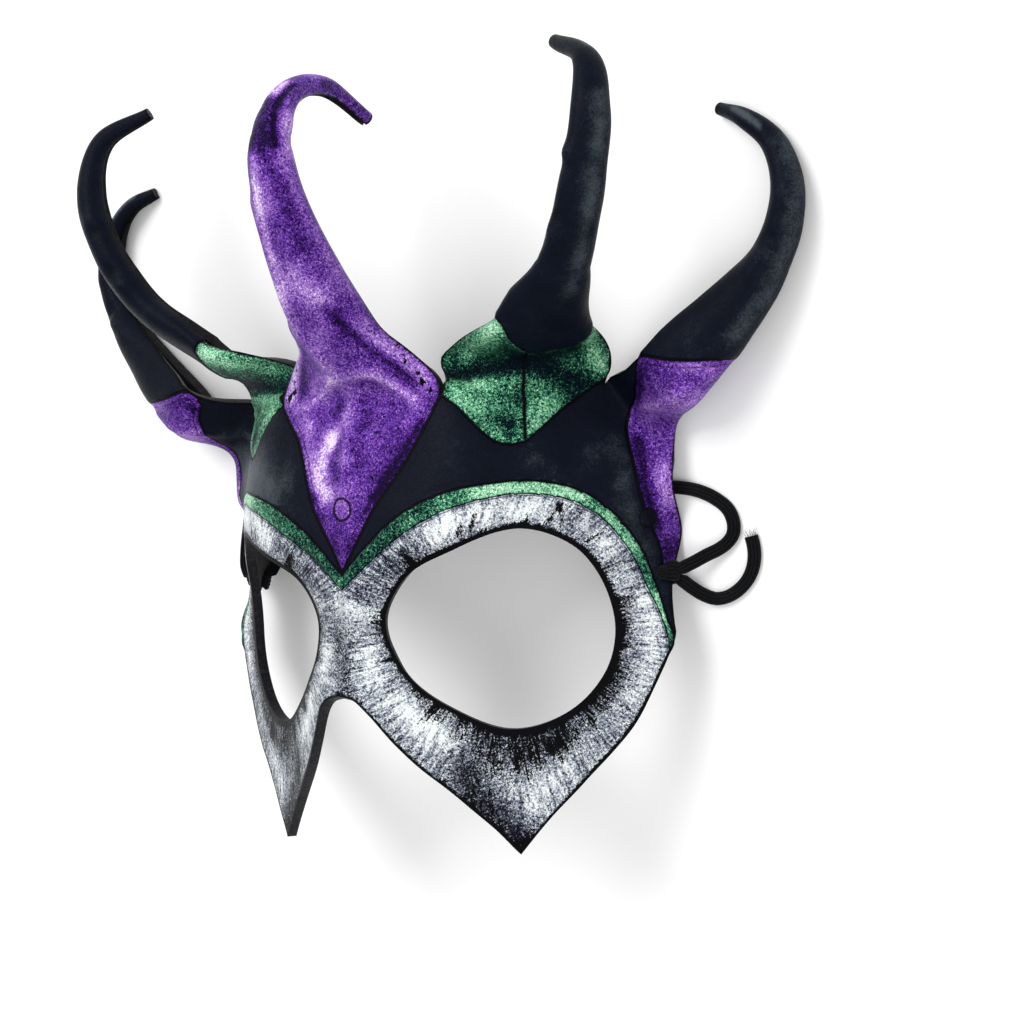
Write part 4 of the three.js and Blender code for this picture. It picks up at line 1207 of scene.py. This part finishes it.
def thickenSheet(sheet):
    share = getValues(sheet, "hornShare")
    thick = blend(leather["thickness"], leather["tipThickness"], smooth(leather["thinsFrom"], 1, share))
    group = sheet.vertex_groups.new(name="thickness")
    for i, value in enumerate(thick / leather["thickness"]):
        group.add([i], float(value), "REPLACE")
    wall = sheet.modifiers.new("wall", "SOLIDIFY")
    wall.thickness = leather["thickness"] * mm
    wall.offset = -1
    wall.use_even_offset = False
    wall.vertex_group = group.name
    wall.material_offset = 1
    wall.material_offset_rim = 2
    applyAll(sheet)


def raiseSheet(sheet, lift):
    # moves the outer side only: its vertices come first after the wall is made
    count = len(lift)
    normals = np.empty(len(sheet.data.vertices) * 3)
    sheet.data.vertices.foreach_get("normal", normals)
    points = vertexPlaces(sheet)
    points[:count] += normals.reshape(-1, 3)[:count] * lift[:, None] * mm
    points[:, 2] = np.maximum(points[:, 2], 0)
    placeVertices(sheet, points)
    edge = sheet.modifiers.new("cutEdge", "BEVEL")
    edge.width = leather["edgeRound"] * mm
    edge.segments = 2
    edge.limit_method = "ANGLE"
    edge.angle_limit = math.radians(55)
    applyAll(sheet)


thickenSheet(sheet)
raiseSheet(sheet, lift)
finishPiece(sheet, "leather_mask", leather["sharpAngle"])
print("leather thickened:", len(sheet.data.polygons), "faces")


# knots: the elastic is drawn through the temple and wrapped round its edge
knot = {
    "hole": (65.6, 9), "offset": 1.6, "wide": 3, "deep": 2.8, "long": 4.9, "narrow": 2.9,
    "ribs": 5, "around": 72, "samples": 49, "bulge": 0.35,
    "lobe": (-0.3, 0, 1.75), "lobeSize": (1.9, 1.7, 1.35), "lobeRibs": (2.6, 0.07),
    "slant": (0.22, 0.6),
}


def knotFrame():
    # at the hole, half way through the leather: out to the edge, along it, and off the face
    x, y = knot["hole"]
    at, beside, above = onSheet("face", np.array([(x, y), (x + 1, y), (x, y + 1)]))
    out = (beside - at) / np.linalg.norm(beside - at)
    off = np.cross(out, above - at)
    off /= np.linalg.norm(off)
    return at - off * leather["thickness"] / 2, np.array([out, np.cross(off, out), off])


def knotStubs(heart, side):
    # the bands' last millimetres inside the wrap
    section = bandSection(elastic["width"], elastic["ribs"], elastic["samples"])
    stubs = []
    for end, across, over in bandEnds:
        if end[0] * side > 0:
            places = [blend(heart, end, s) for s in (0.15, 0.6, 1)]
            rings = np.array([p + section[:, :1] * across * w + section[:, 1:] * over
                              for p, w in zip(places, (0.5, 0.75, 1))])
            stub = ribbonMesh("stub", rings)
            setValues(stub, "weaveAlong", np.repeat([-4.0, -2.0, 0.0], len(section)))
            setValues(stub, "weaveAcross", np.tile(section[:, 0], 3))
            stubs.append(stub)
    return stubs


def knotWrap(name):
    # a wide ribbed band laid once round the knot
    angle = np.linspace(0, 2 * np.pi, knot["around"], endpoint=False)
    section = bandSection(1, knot["ribs"], knot["samples"])
    share, thick = section[:, 0] * 2, section[:, 1]
    halfBand = elastic["thickness"] / 2
    wide, deep = knot["wide"] - halfBand, knot["deep"] - halfBand
    middle = np.stack([knot["offset"] + wide * np.cos(angle), 0 * angle, deep * np.sin(angle)], 1)
    away = np.stack([np.cos(angle) / wide, 0 * angle, np.sin(angle) / deep], 1)
    away /= np.linalg.norm(away, axis=1)[:, None]
    half = blend(knot["narrow"], knot["long"], smooth(-1, -0.1, np.cos(angle))) / 2
    amount, turned = knot["slant"]
    rise = thick[None] + knot["bulge"] * (1 - share[None] ** 2) * (half[:, None] / half.max())
    rings = middle[:, None] + away[:, None] * rise[:, :, None]
    rings[:, :, 1] += half[:, None] * share[None] + (amount * np.sin(angle + turned))[:, None]
    wrap = ribbonMesh(name, rings, closed=True)
    setValues(wrap, "weaveAlong", np.repeat(angle * 3, len(section)))
    setValues(wrap, "weaveAcross", np.tile(share * knot["ribs"] * elastic["width"] / elastic["ribs"] / 2,
                                           len(angle)))
    return wrap


def knotLobe():
    # the tight end of the knot on the face
    clearSelection()
    bpy.ops.mesh.primitive_uv_sphere_add(segments=48, ring_count=32, radius=1)
    lobe = bpy.context.object
    ball = vertexPlaces(lobe)
    ribs, depth = knot["lobeRibs"]
    rib = 1 - depth * (0.5 + 0.5 * np.cos(2 * np.pi * ribs * ball[:, 1])) * (1 - ball[:, 1] ** 2)
    placeVertices(lobe, (ball * rib[:, None] * knot["lobeSize"] + knot["lobe"]) * mm)
    setValues(lobe, "weaveAlong", ball[:, 0] * 2)
    setValues(lobe, "weaveAcross", ball[:, 1] * 2.2)
    return lobe


def makeKnot(name, side, node):
    at, axes = knotFrame()
    wrap = knotWrap(name)
    joinTo(wrap, [knotLobe()])
    placeVertices(wrap, toRow((vertexPlaces(wrap) / mm @ axes + at) * (side, 1, 1)))
    heart = toRow([(at + axes[0] * knot["offset"]) * (side, 1, 1)])[0] / mm
    joinTo(wrap, knotStubs(heart, side))
    editWhole(wrap, turnOutwards)
    wrap.data.materials.append(elasticCloth)
    finishPiece(wrap, node, elastic["sharpAngle"])


makeKnot("knotLeft", 1, "strap_knot_left")
makeKnot("knotRight", -1, "strap_knot_right")
print("knots tied")


# floor and soft light
studio = {
    "floorColour": (0.93, 0.93, 0.93, 1), "floorSize": 6,
    "world": (1, 1, 1, 1), "worldStrength": 0.75,
    "lights": {"keyLight": ((-0.25, 0.7, 0.9), 0.7, 9), "fillLight": ((0.9, -0.3, 0.9), 0.9, 5)},
    "aim": (0, 0, 0.03),
}


def makeFloor():
    clearSelection()
    bpy.ops.mesh.primitive_plane_add(size=studio["floorSize"])
    floor = bpy.context.object
    floor.name = "floor"
    paint = bpy.data.materials.new("floorPaint")
    paint.use_nodes = True
    inputs = paint.node_tree.nodes["Principled BSDF"].inputs
    inputs["Base Color"].default_value = studio["floorColour"]
    inputs["Roughness"].default_value = 0.8
    floor.data.materials.append(paint)


def makeLight(name, place, size, power):
    data = bpy.data.lights.new(name, "AREA")
    data.size = size
    data.energy = power
    light = bpy.data.objects.new(name, data)
    bpy.context.collection.objects.link(light)
    light.location = place
    light.rotation_euler = (Vector(studio["aim"]) - Vector(place)).to_track_quat("-Z", "Y").to_euler()


makeFloor()
for name, (place, size, power) in studio["lights"].items():
    makeLight(name, place, size, power)
world = bpy.data.worlds.new("room")
world.use_nodes = True
background = world.node_tree.nodes["Background"].inputs
background["Color"].default_value = studio["world"]
background["Strength"].default_value = studio["worldStrength"]
bpy.context.scene.world = world
bpy.context.scene.view_settings.view_transform = "Standard"

print("scene built")
